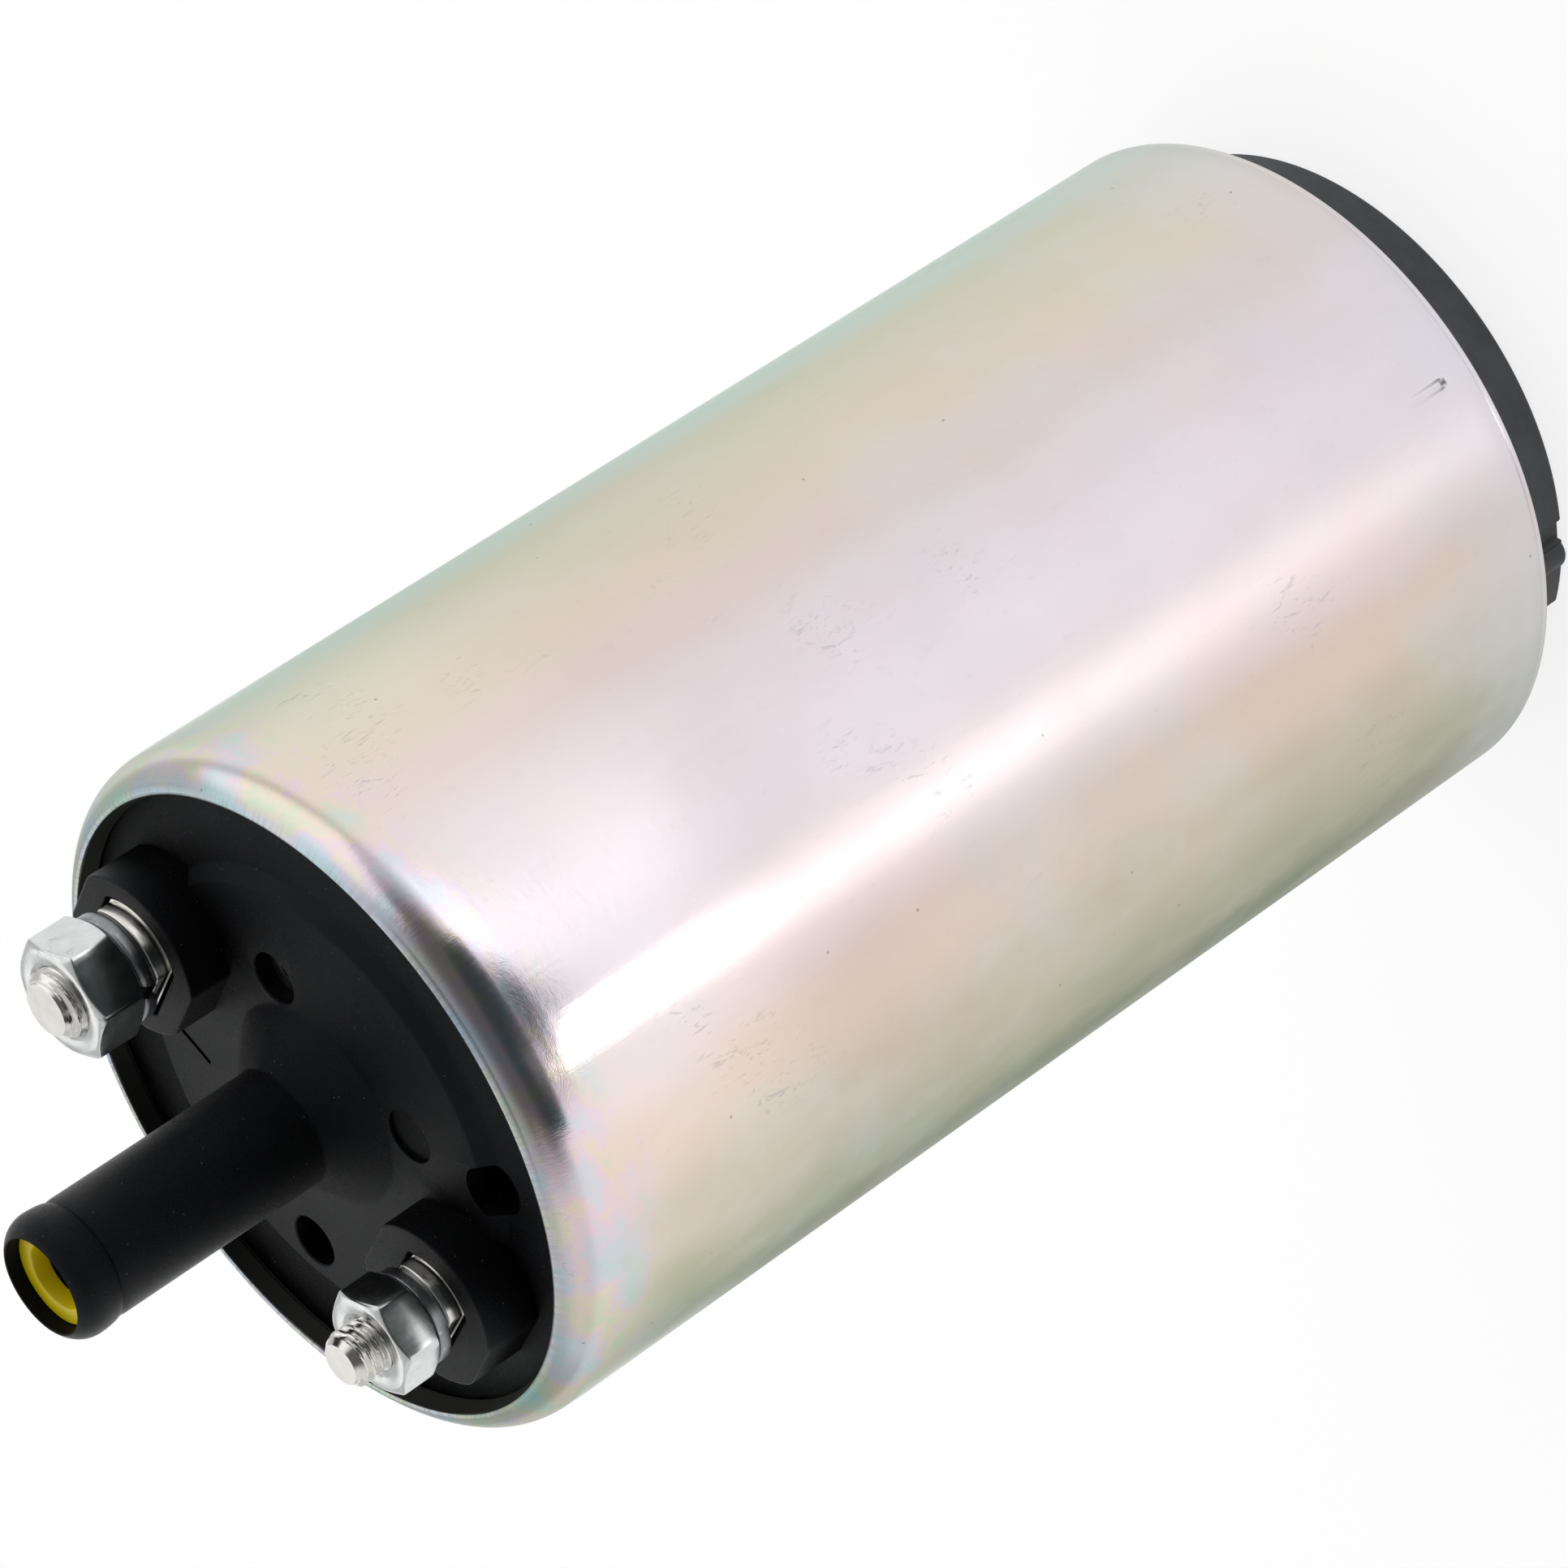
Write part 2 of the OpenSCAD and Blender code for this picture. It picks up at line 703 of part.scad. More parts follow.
module check_valve_seal() {
    reach = pipe_bore - feed_r;
    color([0.2, 0.12, 0.1])
        rotate_extrude()
            polygon([
                [0, z_seal_top - seal_rim - reach], [seal_r - reach, z_seal_top - seal_rim - reach],
                [seal_r, z_seal_top - seal_rim], [seal_r, z_seal_top - seat / 2],
                [0, z_seal_top - seat / 2]
            ]);
}

// Relief valve under one of the round holes
module relief_valve_ball() {
    color("gainsboro")
        translate([relief_at[0], relief_at[1], z_ball])
            sphere(ball_r);
}

module relief_valve_spring() {
    color("lightsteelblue")
        translate([relief_at[0], relief_at[1], 0])
            compression_spring(relief_spring_r, relief_wire, z_relief_spring, z_relief_ring, 4);
}

module relief_valve_retainer() {
    color([0.35, 0.34, 0.32])
        translate([relief_at[0], relief_at[1], z_relief_ring])
            difference() {
                cylinder(r = port_r - press, h = relief_ring_t);
                translate([0, 0, -cut])
                    cylinder(r = relief_hole, h = relief_ring_t + 2 * cut);
            }
}

// Bearing holder: web, skirt down to the magnets, bush hub and brush guides
module brush_guide(side) {
    half_w = brush_w / 2 + brush_clear + guide_wall;
    half_d = brush_d / 2 + brush_clear + guide_wall;
    translate([-half_w, side * brush_offset - half_d, z_web])
        cube([2 * half_w, 2 * half_d, z_guide_top - z_web]);
}

module brush_guide_cut(side) {
    half_w = brush_w / 2 + brush_clear;
    half_d = brush_d / 2 + brush_clear;
    translate([-half_w, side * brush_offset - half_d, z_web - cut])
        cube([2 * half_w, 2 * half_d, z_guide_top - z_web + 2 * cut]);
    slot_w = 2 * lead_r + 0.6;
    rotate([0, 0, 90 * side])
        translate([brush_offset, -slot_w / 2, z_web_top])
            cube([brush_d, slot_w, z_guide_top - z_web_top + cut]);
}

module choke_cradles(side) {
    rib_t = 1.2;
    rib_w = 2.5 * choke_r;
    for (end = [1, -1])
        translate([side * choke_offset, end * (choke_len - choke_margin + choke_wire) / 2, z_web])
            translate([-rib_w / 2, -rib_t / 2, 0])
                cube([rib_w, rib_t, z_choke - choke_r - seat - z_web]);
}

module bearing_holder() {
    fuel_r = 2.5;
    fuel_gap = 4.2;
    holder_wall = 1.6;
    shaft_gap = 0.5;
    color([0.55, 0.5, 0.4])
        difference() {
            union() {
                rotate_extrude()
                    polygon([
                        [0, z_web], [held_r - holder_wall, z_web],
                        [held_r - holder_wall, z_magnet_top + seat],
                        [held_r, z_magnet_top + seat], [held_r, z_web_top],
                        [bush_hub_r, z_web_top], [bush_hub_r, z_hub_top], [0, z_hub_top]
                    ]);
                for (side = [1, -1]) {
                    brush_guide(side);
                    choke_cradles(side);
                }
            }
            for (side = [1, -1])
                brush_guide_cut(side);
            translate([0, 0, z_upper_bush])
                cylinder(r = bush_r + press, h = upper_bush_len + bush_rim + cut);
            translate([0, 0, z_web - cut])
                cylinder(r = shaft_r + shaft_gap, h = z_hub_top - z_web + 2 * cut);
            for (a = [45:90:315])
                rotate([0, 0, a])
                    translate([held_r - fuel_gap - fuel_r, 0, z_web - cut])
                        cylinder(r = fuel_r, h = web_t + 2 * cut);
        }
}

module bush(z0, length) {
    translate([0, 0, z0])
        difference() {
            cylinder(r = bush_r, h = length);
            translate([0, 0, -cut])
                cylinder(r = shaft_r + shaft_clear, h = length + 2 * cut);
        }
}

module upper_bush() {
    color("peru")
        bush(z_upper_bush + seat, upper_bush_len);
}

module lower_bush() {
    color("peru")
        bush(z_lower_bush + seat, lower_bush_len);
}

// Brushes, their springs and leads, and the chokes
module brush(side) {
    color([0.2, 0.2, 0.21])
        translate([-brush_w / 2, side * brush_offset - brush_d / 2, z_brush])
            cube([brush_w, brush_d, brush_len]);
}

module brush_spring(side) {
    color("lightsteelblue")
        translate([0, side * brush_offset, 0])
            compression_spring(brush_spring_r, brush_wire, z_brush_top, z_spring_top, 6);
}

// The lead climbs steadily from the brush to the tail of its choke coil
module brush_lead() {
    start = [0, brush_offset + brush_d / 2 + seat];
    out = [0, start[1] + guide_wall + brush_clear + 2 * lead_r];
    end = [choke_offset - choke_wire / 2 - lead_r - seat, choke_len / 2 + tail_len];
    control = [0.35 * end[0], out[1] + 1.6 * lead_r];
    steps = 8;
    path = [
        [start[0], start[1], z_lead],
        for (i = [0:steps]) let (s = i / steps, curve = bend(out, control, end, s))
            [curve[0], curve[1], z_lead + (z_lead_top - z_lead) * (1 - cos(180 * s)) / 2]
    ];
    color("chocolate")
        tube_along(path, lead_r, 8);
}

module choke_core(side) {
    color([0.25, 0.25, 0.27])
        translate([side * choke_offset, -choke_len / 2, z_choke])
            rotate([-90, 0, 0])
                cylinder(r = choke_r, h = choke_len);
}

// Coil around the core, with a tail that stands at its end
module choke_coil(side) {
    turns = 6;
    coil_half = choke_len / 2 - choke_margin;
    path = [for (i = [0:per_turn * turns]) let (s = i / (per_turn * turns))
        [coil_r * sin(360 * turns * s), coil_half * (2 * s - 1), coil_r * cos(360 * turns * s)]];
    y_tail = choke_len / 2 + tail_len;
    tail = [
        [0, coil_half + choke_wire, coil_r], [0, y_tail - choke_wire, coil_r],
        [0, y_tail, coil_r]
    ];
    color("chocolate")
        rotate([0, 0, side > 0 ? 0 : 180])
            translate([choke_offset, 0, z_choke])
                tube_along(concat(path, tail), choke_wire / 2);
}

// Motor field
module magnet(side) {
    mid = 90 * side;
    color([0.3, 0.3, 0.32])
        translate([0, 0, z_magnet + seat])
            linear_extrude(z_magnet_top - z_magnet - seat)
                ring_sector(magnet_in, magnet_out, mid - magnet_arc / 2, mid + magnet_arc / 2);
}

module magnet_clip(side) {
    half = (180 - magnet_arc) / 2;
    leg_angle = 2;
    back = 0.6;
    inset = 3;
    color("slategray")
        translate([0, 0, z_magnet + inset])
            linear_extrude(z_magnet_top - z_magnet - 2 * inset)
                rotate([0, 0, side > 0 ? 0 : 180]) {
                    ring_sector(held_r - back, held_r, -half + 0.5, half - 0.5);
                    for (end = [1, -1])
                        rotate([0, 0, end * (half - 0.5 - leg_angle / 2)])
                            ring_sector(magnet_in + 1, held_r, -leg_angle / 2, leg_angle / 2);
                }
}

// Armature
module core_outline(r) {
    difference() {
        circle(r);
        for (i = [0:slot_count - 1])
            rotate([0, 0, 360 * (i + 0.5) / slot_count]) {
                polygon([
                    [slot_in, -slot_half_in], [slot_out, -slot_half_out],
                    [slot_out, slot_half_out], [slot_in, slot_half_in]
                ]);
                translate([slot_out - 0.1, -slot_mouth / 2])
                    square([r, slot_mouth]);
            }
        circle(shaft_r + press);
    }
}

module armature_core() {
    color([0.5, 0.5, 0.53])
        translate([0, 0, z_core])
            linear_extrude(z_core_top - z_core)
                core_outline(core_r);
}

module insulator(z0) {
    color("seagreen")
        translate([0, 0, z0])
            linear_extrude(insulator_t)
                core_outline(core_r - 0.3);
}

module armature_insulator_upper() {
    insulator(z_core_top + seat);
}

module armature_insulator_lower() {
    insulator(z_core - insulator_t - seat);
}

module winding_end(z0, up) {
    corner = 1.6;
    top = winding_h - corner;
    z_mid = z0 + up * top;
    outer = arc([slot_out - insulation - corner, z_mid], corner, 0, 90 * up, 4);
    inner = arc([winding_in + corner, z_mid], corner, 90 * up, 180 * up, 4);
    rotate_extrude()
        polygon(concat([[slot_out - insulation, z0]], outer, inner, [[winding_in, z0]]));
}

module armature_windings() {
    z_low = z_core - insulator_t - 2 * seat;
    z_high = z_core_top + insulator_t + 2 * seat;
    color("chocolate") {
        winding_end(z_high, 1);
        winding_end(z_low, -1);
        for (i = [0:slot_count - 1])
            rotate([0, 0, 360 * (i + 0.5) / slot_count])
                translate([0, 0, z_low - 1])
                    linear_extrude(z_high - z_low + 2)
                        polygon([
                            [slot_in + insulation, insulation - slot_half_in],
                            [slot_out - insulation, 1.6 * insulation - slot_half_out],
                            [slot_out - insulation, slot_half_out - 1.6 * insulation],
                            [slot_in + insulation, slot_half_in - insulation]
                        ]);
    }
}

module armature_shaft() {
    flat_at = shaft_r - shaft_flat;
    z_low = z_pad_top + seat;
    z_high = z_upper_bush + upper_bush_len + bush_rim / 2;
    chamfer = 0.4;
    color("lightgray")
        difference() {
            rotate_extrude()
                polygon([
                    [0, z_low], [shaft_r - chamfer, z_low], [shaft_r, z_low + chamfer],
                    [shaft_r, z_high - chamfer], [shaft_r - chamfer, z_high], [0, z_high]
                ]);
            translate([-2 * shaft_r, flat_at, z_low - cut])
                cube([4 * shaft_r, shaft_r, z_chamber_top - z_low + cut]);
        }
}

module commutator_base() {
    color([0.3, 0.2, 0.15])
        translate([0, 0, z_commutator_base])
            difference() {
                union() {
                    cylinder(r = commutator_r, h = commutator_t);
                    cylinder(r = bar_in - bar_seat, h = commutator_t + bar_t);
                }
                translate([0, 0, -cut])
                    cylinder(r = shaft_r + press, h = commutator_t + bar_t + 2 * cut);
            }
}

module commutator_bars() {
    half = 180 / slot_count - 1.6;
    color("peru")
        translate([0, 0, z_bars + seat / 2])
            linear_extrude(bar_t - seat / 2)
                for (i = [0:slot_count - 1])
                    rotate([0, 0, 360 * i / slot_count])
                        ring_sector(bar_in, commutator_r, -half, half);
}

// Pump stage
module impeller() {
    pocket_in = channel_out - 0.8 * channel_w;
    pocket_half = 0.55 * PI * (channel_out - 0.4 * channel_w) / vane_count;
    flat_at = shaft_r - shaft_flat + seat;
    balance_r = 1.5;
    color([0.2, 0.19, 0.17])
        translate([0, 0, z_impeller])
            linear_extrude(impeller_t)
                difference() {
                    circle(impeller_r);
                    for (i = [0:vane_count - 1])
                        rotate([0, 0, 360 * i / vane_count])
                            translate([pocket_in, -pocket_half])
                                square([0.66 * channel_w, 2 * pocket_half]);
                    intersection() {
                        circle(shaft_r + seat);
                        translate([-2 * shaft_r, flat_at - 4 * shaft_r])
                            square(4 * shaft_r);
                    }
                    for (a = [30:120:270])
                        rotate([0, 0, a])
                            translate([impeller_r / 2, 0])
                                circle(balance_r);
                }
}

module flow_channel(z0, depth) {
    translate([0, 0, z0])
        linear_extrude(depth)
            difference() {
                circle(channel_out);
                circle(channel_out - channel_w);
                polygon(wedge(channel_out, channel_to, channel_from + 360));
            }
}

module pump_casing() {
    casing_wall = 2;
    shaft_gap = 0.4;
    outlet_r = 1.7;
    color([0.62, 0.62, 0.6])
        difference() {
            rotate_extrude()
                polygon([
                    [0, z_inlet_top + seat], [held_r, z_inlet_top + seat],
                    [held_r, z_magnet - seat], [held_r - casing_wall, z_magnet - seat],
                    [held_r - casing_wall, z_casing_top], [hub_r, z_casing_top],
                    [hub_r, z_casing_hub], [0, z_casing_hub]
                ]);
            translate([0, 0, z_inlet_top])
                cylinder(r = impeller_r + rim_gap, h = chamber_h);
            flow_channel(z_chamber_top - cut, channel_depth + cut);
            translate([0, 0, z_chamber_top - cut])
                cylinder(r = shaft_r + shaft_gap, h = casing_t);
            translate([0, 0, z_lower_bush])
                cylinder(r = bush_r + press, h = z_casing_hub - z_lower_bush + cut);
            rotate([0, 0, channel_to - 8])
                translate([channel_mid, 0, z_chamber_top])
                    cylinder(r = outlet_r, h = casing_t);
        }
}

module foot_profile() {
    edge = 0.4;
    polygon([
        [0, 0], [foot_r - edge, 0], [foot_r, edge], [foot_r, z_rear_lip],
        [held_r, z_rear_lip], [held_r, z_inlet_top], [0, z_inlet_top]
    ]);
}

// Notches in the foot's edge on both sides of a small rounded lug
module foot_notch(span, depth) {
    translate([0, 0, -cut])
        linear_extrude(foot_h - notch_floor + cut)
            ring_sector(foot_r - depth, 1.1 * foot_r, span[0], span[1]);
}

module foot_lug() {
    rotate([0, 0, lug_angle])
        translate([foot_r + lug_proud - lug_r, 0, 0])
            cylinder(r = lug_r, h = foot_h - notch_floor);
}

module inlet_cover() {
    socket_wall = 1.6;
    rim = 3;
    centre_r = 5;
    shoulder = 1;
    color([0.22, 0.23, 0.24])
        difference() {
            union() {
                difference() {
                    rotate_extrude()
                        foot_profile();
                    foot_notch(shallow_notch, 0.6);
                    foot_notch(deep_notch, 1.2);
                }
                foot_lug();
            }
            translate([0, 0, -cut])
                linear_extrude(sole_depth + cut)
                    difference() {
                        circle(foot_r - rim);
                        circle(centre_r);
                        rotate([0, 0, inlet_angle])
                            translate([inlet_offset, 0])
                                circle(inlet_r + socket_wall);
                    }
            rotate([0, 0, inlet_angle])
                translate([inlet_offset, 0, 0]) {
                    translate([0, 0, -cut])
                        cylinder(r = inlet_r, h = inlet_depth + cut);
                    cylinder(r = inlet_r - shoulder, h = z_inlet_top + cut);
                }
            flow_channel(z_inlet_top - channel_depth, channel_depth + cut);
            translate([0, 0, z_pad_top - pad_t])
                cylinder(r = pad_r + press, h = pad_t + pad_sink + cut);
        }
}

module thrust_pad() {
    color("gainsboro")
        translate([0, 0, z_pad_top - pad_t + seat / 2])
            cylinder(r = pad_r, h = pad_t - seat / 2);
}

module brush_a() brush(1);
module brush_b() brush(-1);
module brush_spring_a() brush_spring(1);
module brush_spring_b() brush_spring(-1);
module brush_lead_a() brush_lead();
module brush_lead_b() rotate([0, 0, 180]) brush_lead();
module choke_core_a() choke_core(1);
module choke_core_b() choke_core(-1);
module choke_coil_a() choke_coil(1);
module choke_coil_b() choke_coil(-1);
module magnet_a() magnet(1);
module magnet_b() magnet(-1);
module magnet_clip_a() magnet_clip(1);
module magnet_clip_b() magnet_clip(-1);

housing();
outlet_cover();
terminal_stud_large();
terminal_stud_small();
terminal_washer_large();
terminal_washer_small();
terminal_nut_large();
terminal_nut_small();
check_valve_retainer();
check_valve_spring();
check_valve_poppet();
check_valve_seal();
relief_valve_ball();
relief_valve_spring();
relief_valve_retainer();
bearing_holder();
upper_bush();
brush_a();
brush_b();
brush_spring_a();
brush_spring_b();
brush_lead_a();
brush_lead_b();
choke_core_a();
choke_core_b();
choke_coil_a();
choke_coil_b();
magnet_a();
magnet_b();
magnet_clip_a();
magnet_clip_b();
armature_shaft();
armature_core();
armature_insulator_upper();
armature_insulator_lower();
armature_windings();
commutator_base();
commutator_bars();
impeller();
pump_casing();
lower_bush();
inlet_cover();
thrust_pad();
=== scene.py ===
"""Looks of the electric fuel pump: lathed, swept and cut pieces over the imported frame."""
import json
import math

import bmesh
import bpy
from mathutils import Matrix, Vector

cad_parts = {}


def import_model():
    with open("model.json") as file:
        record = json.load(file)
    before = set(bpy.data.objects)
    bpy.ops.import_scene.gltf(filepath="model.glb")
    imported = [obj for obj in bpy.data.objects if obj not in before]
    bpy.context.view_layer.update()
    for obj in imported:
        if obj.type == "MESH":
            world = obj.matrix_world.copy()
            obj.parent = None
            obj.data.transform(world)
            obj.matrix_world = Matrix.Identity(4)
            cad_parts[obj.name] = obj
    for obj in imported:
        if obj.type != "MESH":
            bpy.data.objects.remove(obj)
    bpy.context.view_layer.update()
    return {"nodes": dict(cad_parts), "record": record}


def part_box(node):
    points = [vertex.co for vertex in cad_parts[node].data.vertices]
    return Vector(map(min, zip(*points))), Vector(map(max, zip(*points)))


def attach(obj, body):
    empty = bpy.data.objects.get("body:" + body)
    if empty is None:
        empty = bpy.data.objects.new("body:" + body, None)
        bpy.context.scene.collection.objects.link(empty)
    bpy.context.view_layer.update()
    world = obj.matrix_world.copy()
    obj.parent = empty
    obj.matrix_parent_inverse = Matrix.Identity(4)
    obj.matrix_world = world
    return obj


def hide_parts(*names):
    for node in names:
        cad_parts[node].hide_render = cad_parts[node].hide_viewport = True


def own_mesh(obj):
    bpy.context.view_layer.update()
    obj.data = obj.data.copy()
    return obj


# Lengths are in millimetres, unless a comment says metres
MM = 0.001

# Camera, in the pump's frame, solved from the photograph, and its clipping in metres
CAMERA_AT = (-105.06, -401.21, 305.56)
CAMERA_RIGHT = (-0.644322, -0.275827, -0.71328)
CAMERA_UP = (0.733061, -0.488485, -0.473291)
CAMERA_LENS = 162.748
CAMERA_SENSOR = 36
CAMERA_CLIP = (0.01, 50)

# Floor, with half its width and its drop in metres, and the levels of the grey studio round it
FLOOR_HALF = 4.0
FLOOR_DROP = 0.0002
FLOOR_WHITE = 1.15
FLOOR_SHARE = 0.7
WORLD_LEVEL = 0.6
DARK_LEVEL = 0.1
DARK_SIDE = (-114, 38)
DARK_REACH = (30, 56)

# Dark card near the rolled edge, seen only in reflections: azimuths, distance and heights in metres
CARD_SIDES = (-142, -90)
CARD_AT = 0.068
CARD_Z = (0.0715, 0.128)
CARD_TAPER = 0.012

# Lamps, in metres: name, azimuth, elevation, distance, width, height, share of a plain light,
# height of the point it faces, and spread in degrees
LAMPS = (("left", 165, 28, 0.6, 0.8, 0.6, 0.08, 0.065, 180),
         ("right", -18, 40, 0.7, 0.8, 0.7, 0.2, 0.065, 180),
         ("back", 72, 48, 0.7, 0.7, 0.5, 0.14, 0.065, 180),
         ("strip", -127.5, 0, 0.19, 0.045, 0.04, 0.035, 0.021, 180),
         ("spark", -129, 0, 0.19, 0.022, 0.022, 0.022, 0.032, 180),
         ("low", -99, 0, 0.2, 0.42, 0.05, 0.05, 0.026, 90))

# Coating: its tints by degrees round the shell from the camera's azimuth, and its oily tints by
# noise
TINT_AND_PAINTED_SHADE_AZIMUTH = -104.67
# Part coating colour, part painted shade: the dark olive at -90 and -76 paints a dark reflection
SHELL_TINTS_AND_PAINTED_SHADE = [(-178, (0.7, 0.66, 0.62)), (-140, (0.76, 0.68, 0.68)), (-115, (0.62, 0.63, 0.52)),
               (-90, (0.36, 0.38, 0.3)), (-76, (0.32, 0.34, 0.26)), (-62, (0.51, 0.51, 0.38)),
               (-46, (0.67, 0.59, 0.47)), (-30, (0.86, 0.7, 0.59)), (-20, (0.94, 0.81, 0.81)),
               (0, (0.89, 0.81, 0.87)), (20, (0.85, 0.76, 0.79)), (30, (0.8, 0.69, 0.64)),
               (42, (0.78, 0.69, 0.57)), (62, (0.74, 0.73, 0.6)), (76, (0.72, 0.84, 0.78)),
               (90, (0.85, 0.98, 0.95)), (125, (0.76, 0.7, 0.62)), (155, (0.74, 0.7, 0.74)),
               (178, (0.7, 0.66, 0.62))]
OIL_TINTS = [(0.3, (0.5, 0.72, 0.76)), (0.4, (0.62, 0.7, 0.84)), (0.47, (0.8, 0.64, 0.78)),
             (0.54, (0.82, 0.7, 0.58)), (0.61, (0.66, 0.74, 0.58)), (0.72, (0.52, 0.74, 0.74))]

# Coating: heights and radii between which each of its looks sets in
OILY_Z = (94.0, 101.5)
PALE_Z = (22.0, 9.0)
GLOSSY_Z = (72.0, 92.0)
GRAINY_Z = (90.0, 95.0)
ROLLED_Z = (95.2, 96.4)
# Where the sheared edge is painted near black, a painted dark reflection
SHEARED_PAINTED_DARK_Z = (97.2, 97.5)
SHEARED_PAINTED_DARK_R = (23.3, 23.2)
BURNISHED_R = (24.8, 23.6)
BLUISH_R = (24.9, 23.9)
WORN_R = (24.4, 22.6)

# Plastics and resins: colour, roughness, scale and depth of the grain, and spread of the colour
MOULDED = {"grey_plastic": ((0.052, 0.055, 0.062), 0.62, 6.0, 0.015),
           "yellow_plastic": ((0.84, 0.66, 0.0), 0.36, 5.0, 0.004, 0.06),
           "valve_plastic": ((0.78, 0.75, 0.66), 0.42, 5.0, 0.006, 0.05),
           "seal_rubber": ((0.03, 0.02, 0.018), 0.75, 6.0, 0.02),
           "holder_plastic": ((0.5, 0.45, 0.35), 0.52, 5.0, 0.012, 0.12),
           "brush_carbon": ((0.035, 0.035, 0.038), 0.6, 9.0, 0.02, 0.3),
           "ferrite": ((0.06, 0.06, 0.065), 0.48, 5.0, 0.01, 0.3),
           "insulator_plastic": ((0.03, 0.16, 0.08), 0.42, 5.0, 0.01),
           "commutator_resin": ((0.07, 0.04, 0.025), 0.45, 6.0, 0.01),
           "impeller_resin": ((0.08, 0.066, 0.05), 0.4, 7.0, 0.01, 0.2)}

# Metals: colour, roughness, scale, stretch and depth of the grain, spread of the colour, and stain
METALS = {"stud_nickel": ((0.83, 0.81, 0.77), 0.2, 4.0, (0.3, 0.3, 2), 0.003, 0.1),
          "nut_zinc": ((0.74, 0.75, 0.75), 0.21, 6.0, (1, 1, 0.15), 0.001, 0.15, (0.5, 0.51, 0.52)),
          # The washer's dark grey is partly its own tone and partly a painted dark reflection
          "washer_zinc": ((0.36, 0.37, 0.39), 0.34, 4.0, (1, 1, 1), 0.002, 0.3, (0.62, 0.62, 0.62)),
          "spring_steel": ((0.62, 0.63, 0.65), 0.28, 4.0),
          "ball_steel": ((0.8, 0.8, 0.81), 0.18, 2.0, (1, 1, 1), 0.001, 0.04),
          "sintered_bronze": ((0.52, 0.38, 0.22), 0.5, 8.0, (1, 1, 1), 0.03, 0.3),
          "retainer_metal": ((0.36, 0.35, 0.33), 0.3, 4.0),
          "copper": ((0.85, 0.45, 0.28), 0.3, 5.0, (0.3, 0.3, 1), 0.006, 0.2),
          "clip_steel": ((0.55, 0.56, 0.58), 0.34, 4.0, (1, 1, 0.2)),
          "shaft_steel": ((0.7, 0.7, 0.71), 0.2, 6.0, (0.2, 0.2, 2)),
          "pump_aluminium": ((0.72, 0.72, 0.71), 0.42, 6.0, (1, 1, 1), 0.02),
          "pad_steel": ((0.72, 0.72, 0.73), 0.16, 3.0, (1, 1, 1), 0.004, 0.05)}

# Shell: its wall draws in by EASE_IN over EASE_RUN from EASE_Z up, and rolls over from Z_ROLL
BODY_R = 25.5
WALL = 1.6
ROLL_R = 3.2
FRONT_TURN = 72
REAR_EDGE = 0.4
REAR_LINE = 0.64
Z_REAR = 5.5
Z_LIP = 99.0
ROLL_AXIS_R = BODY_R - ROLL_R
Z_ROLL = Z_LIP - ROLL_R * math.sin(math.radians(FRONT_TURN))
EASE_Z = 94.0
EASE_RUN = 2.8
EASE_IN = 0.06
MARK_AZIMUTH = -108.2
MARK_Z = (8.4, 12.0)
MARK_W = 0.8
MARK_DEPTH = 0.35

# Waves of the front edge: size, number and phase
EDGE_WAVES = ((0.035, 7, 1), (0.02, 17, 0), (0.012, 41, 2))

# Outlet cover
HELD_R = 23.8
Z_RING = 97.298
Z_PLATEAU = 98.268
Z_UNDER = 93.498
Z_SKIRT = 86.098
SKIRT_IN = 21.0
PLATEAU_R = 16.5
BAND_RUN = 0.97
FLARE_R = 7.5
FLARE_H = 3.13
PIPE_R = 4.35
PIPE_BORE = 3.5
FEED_R = 2.2
Z_SEAT = 104.968
Z_STEP = 118.4
STEP_DEPTH = 0.12
Z_BEAD = 119.99
BEAD_R = 4.55
NOSE_R = 2.0
RETAINER_R = (2.1, 3.47)
RETAINER_Z = (119.3, 120.6)
STUD_X = 15.25
BOSS_R = 6.0
BOSS_HALF = 5.45
Z_BOSS = 101.62
Z_POCKET = 100.62
POCKET_CLEAR = 0.35
RELIEF_AT = (6.765, -6.812)
BLIND_AT = (-4.386, 13.032)
DIMPLE_AT = (-7.018, -6.897)
DIMPLE_DEPTH = 0.35
BAND_AT = (-13.84, -9.872)
PORT_R = 1.9
GROOVE_X = (8.4, 13.5)
GROOVE_Y = (7.6, 8.0)
GROOVE_DEPTH = 0.4
Z_BLIND = 94.668
Z_BAND_FLOOR = 94.698
Z_RELIEF_SEAT = 90.298
RELIEF_SEAT_R = 1.1
RELIEF_BOSS_R = 2.7
SPRING_POCKET_R = 2.6
SPRING_POCKET_H = 2.4
BRUSH_Y = 8.6

# Terminals: side, thread, shoulder radius, its ledge and half flat, washer's radius, thickness and
# rounding, nut's width and height, top of the stud, and azimuths of a nut corner and the split
LARGE = {"side": 1, "d": 5.0, "pitch": 0.8, "shoulder": 4.3, "ledge": 0.28, "half": 3.2,
         "washer_r": 4.0, "washer_t": 1.2, "washer_round": 0.4, "af": 8.0, "nut_h": 4.0,
         "tip": 108.9, "turn": -81, "split": -150}
SMALL = {"side": -1, "d": 4.0, "pitch": 0.7, "shoulder": 3.95, "ledge": 0.16, "half": 2.6,
         "washer_r": 3.5, "washer_t": 0.9, "washer_round": 0.09, "af": 7.0, "nut_h": 3.2,
         "tip": 109.05, "turn": -79, "split": -11}
Z_LEDGE = 101.52
Z_SHOULDER = 102.6
STUD_FLANGE_R = 3.6

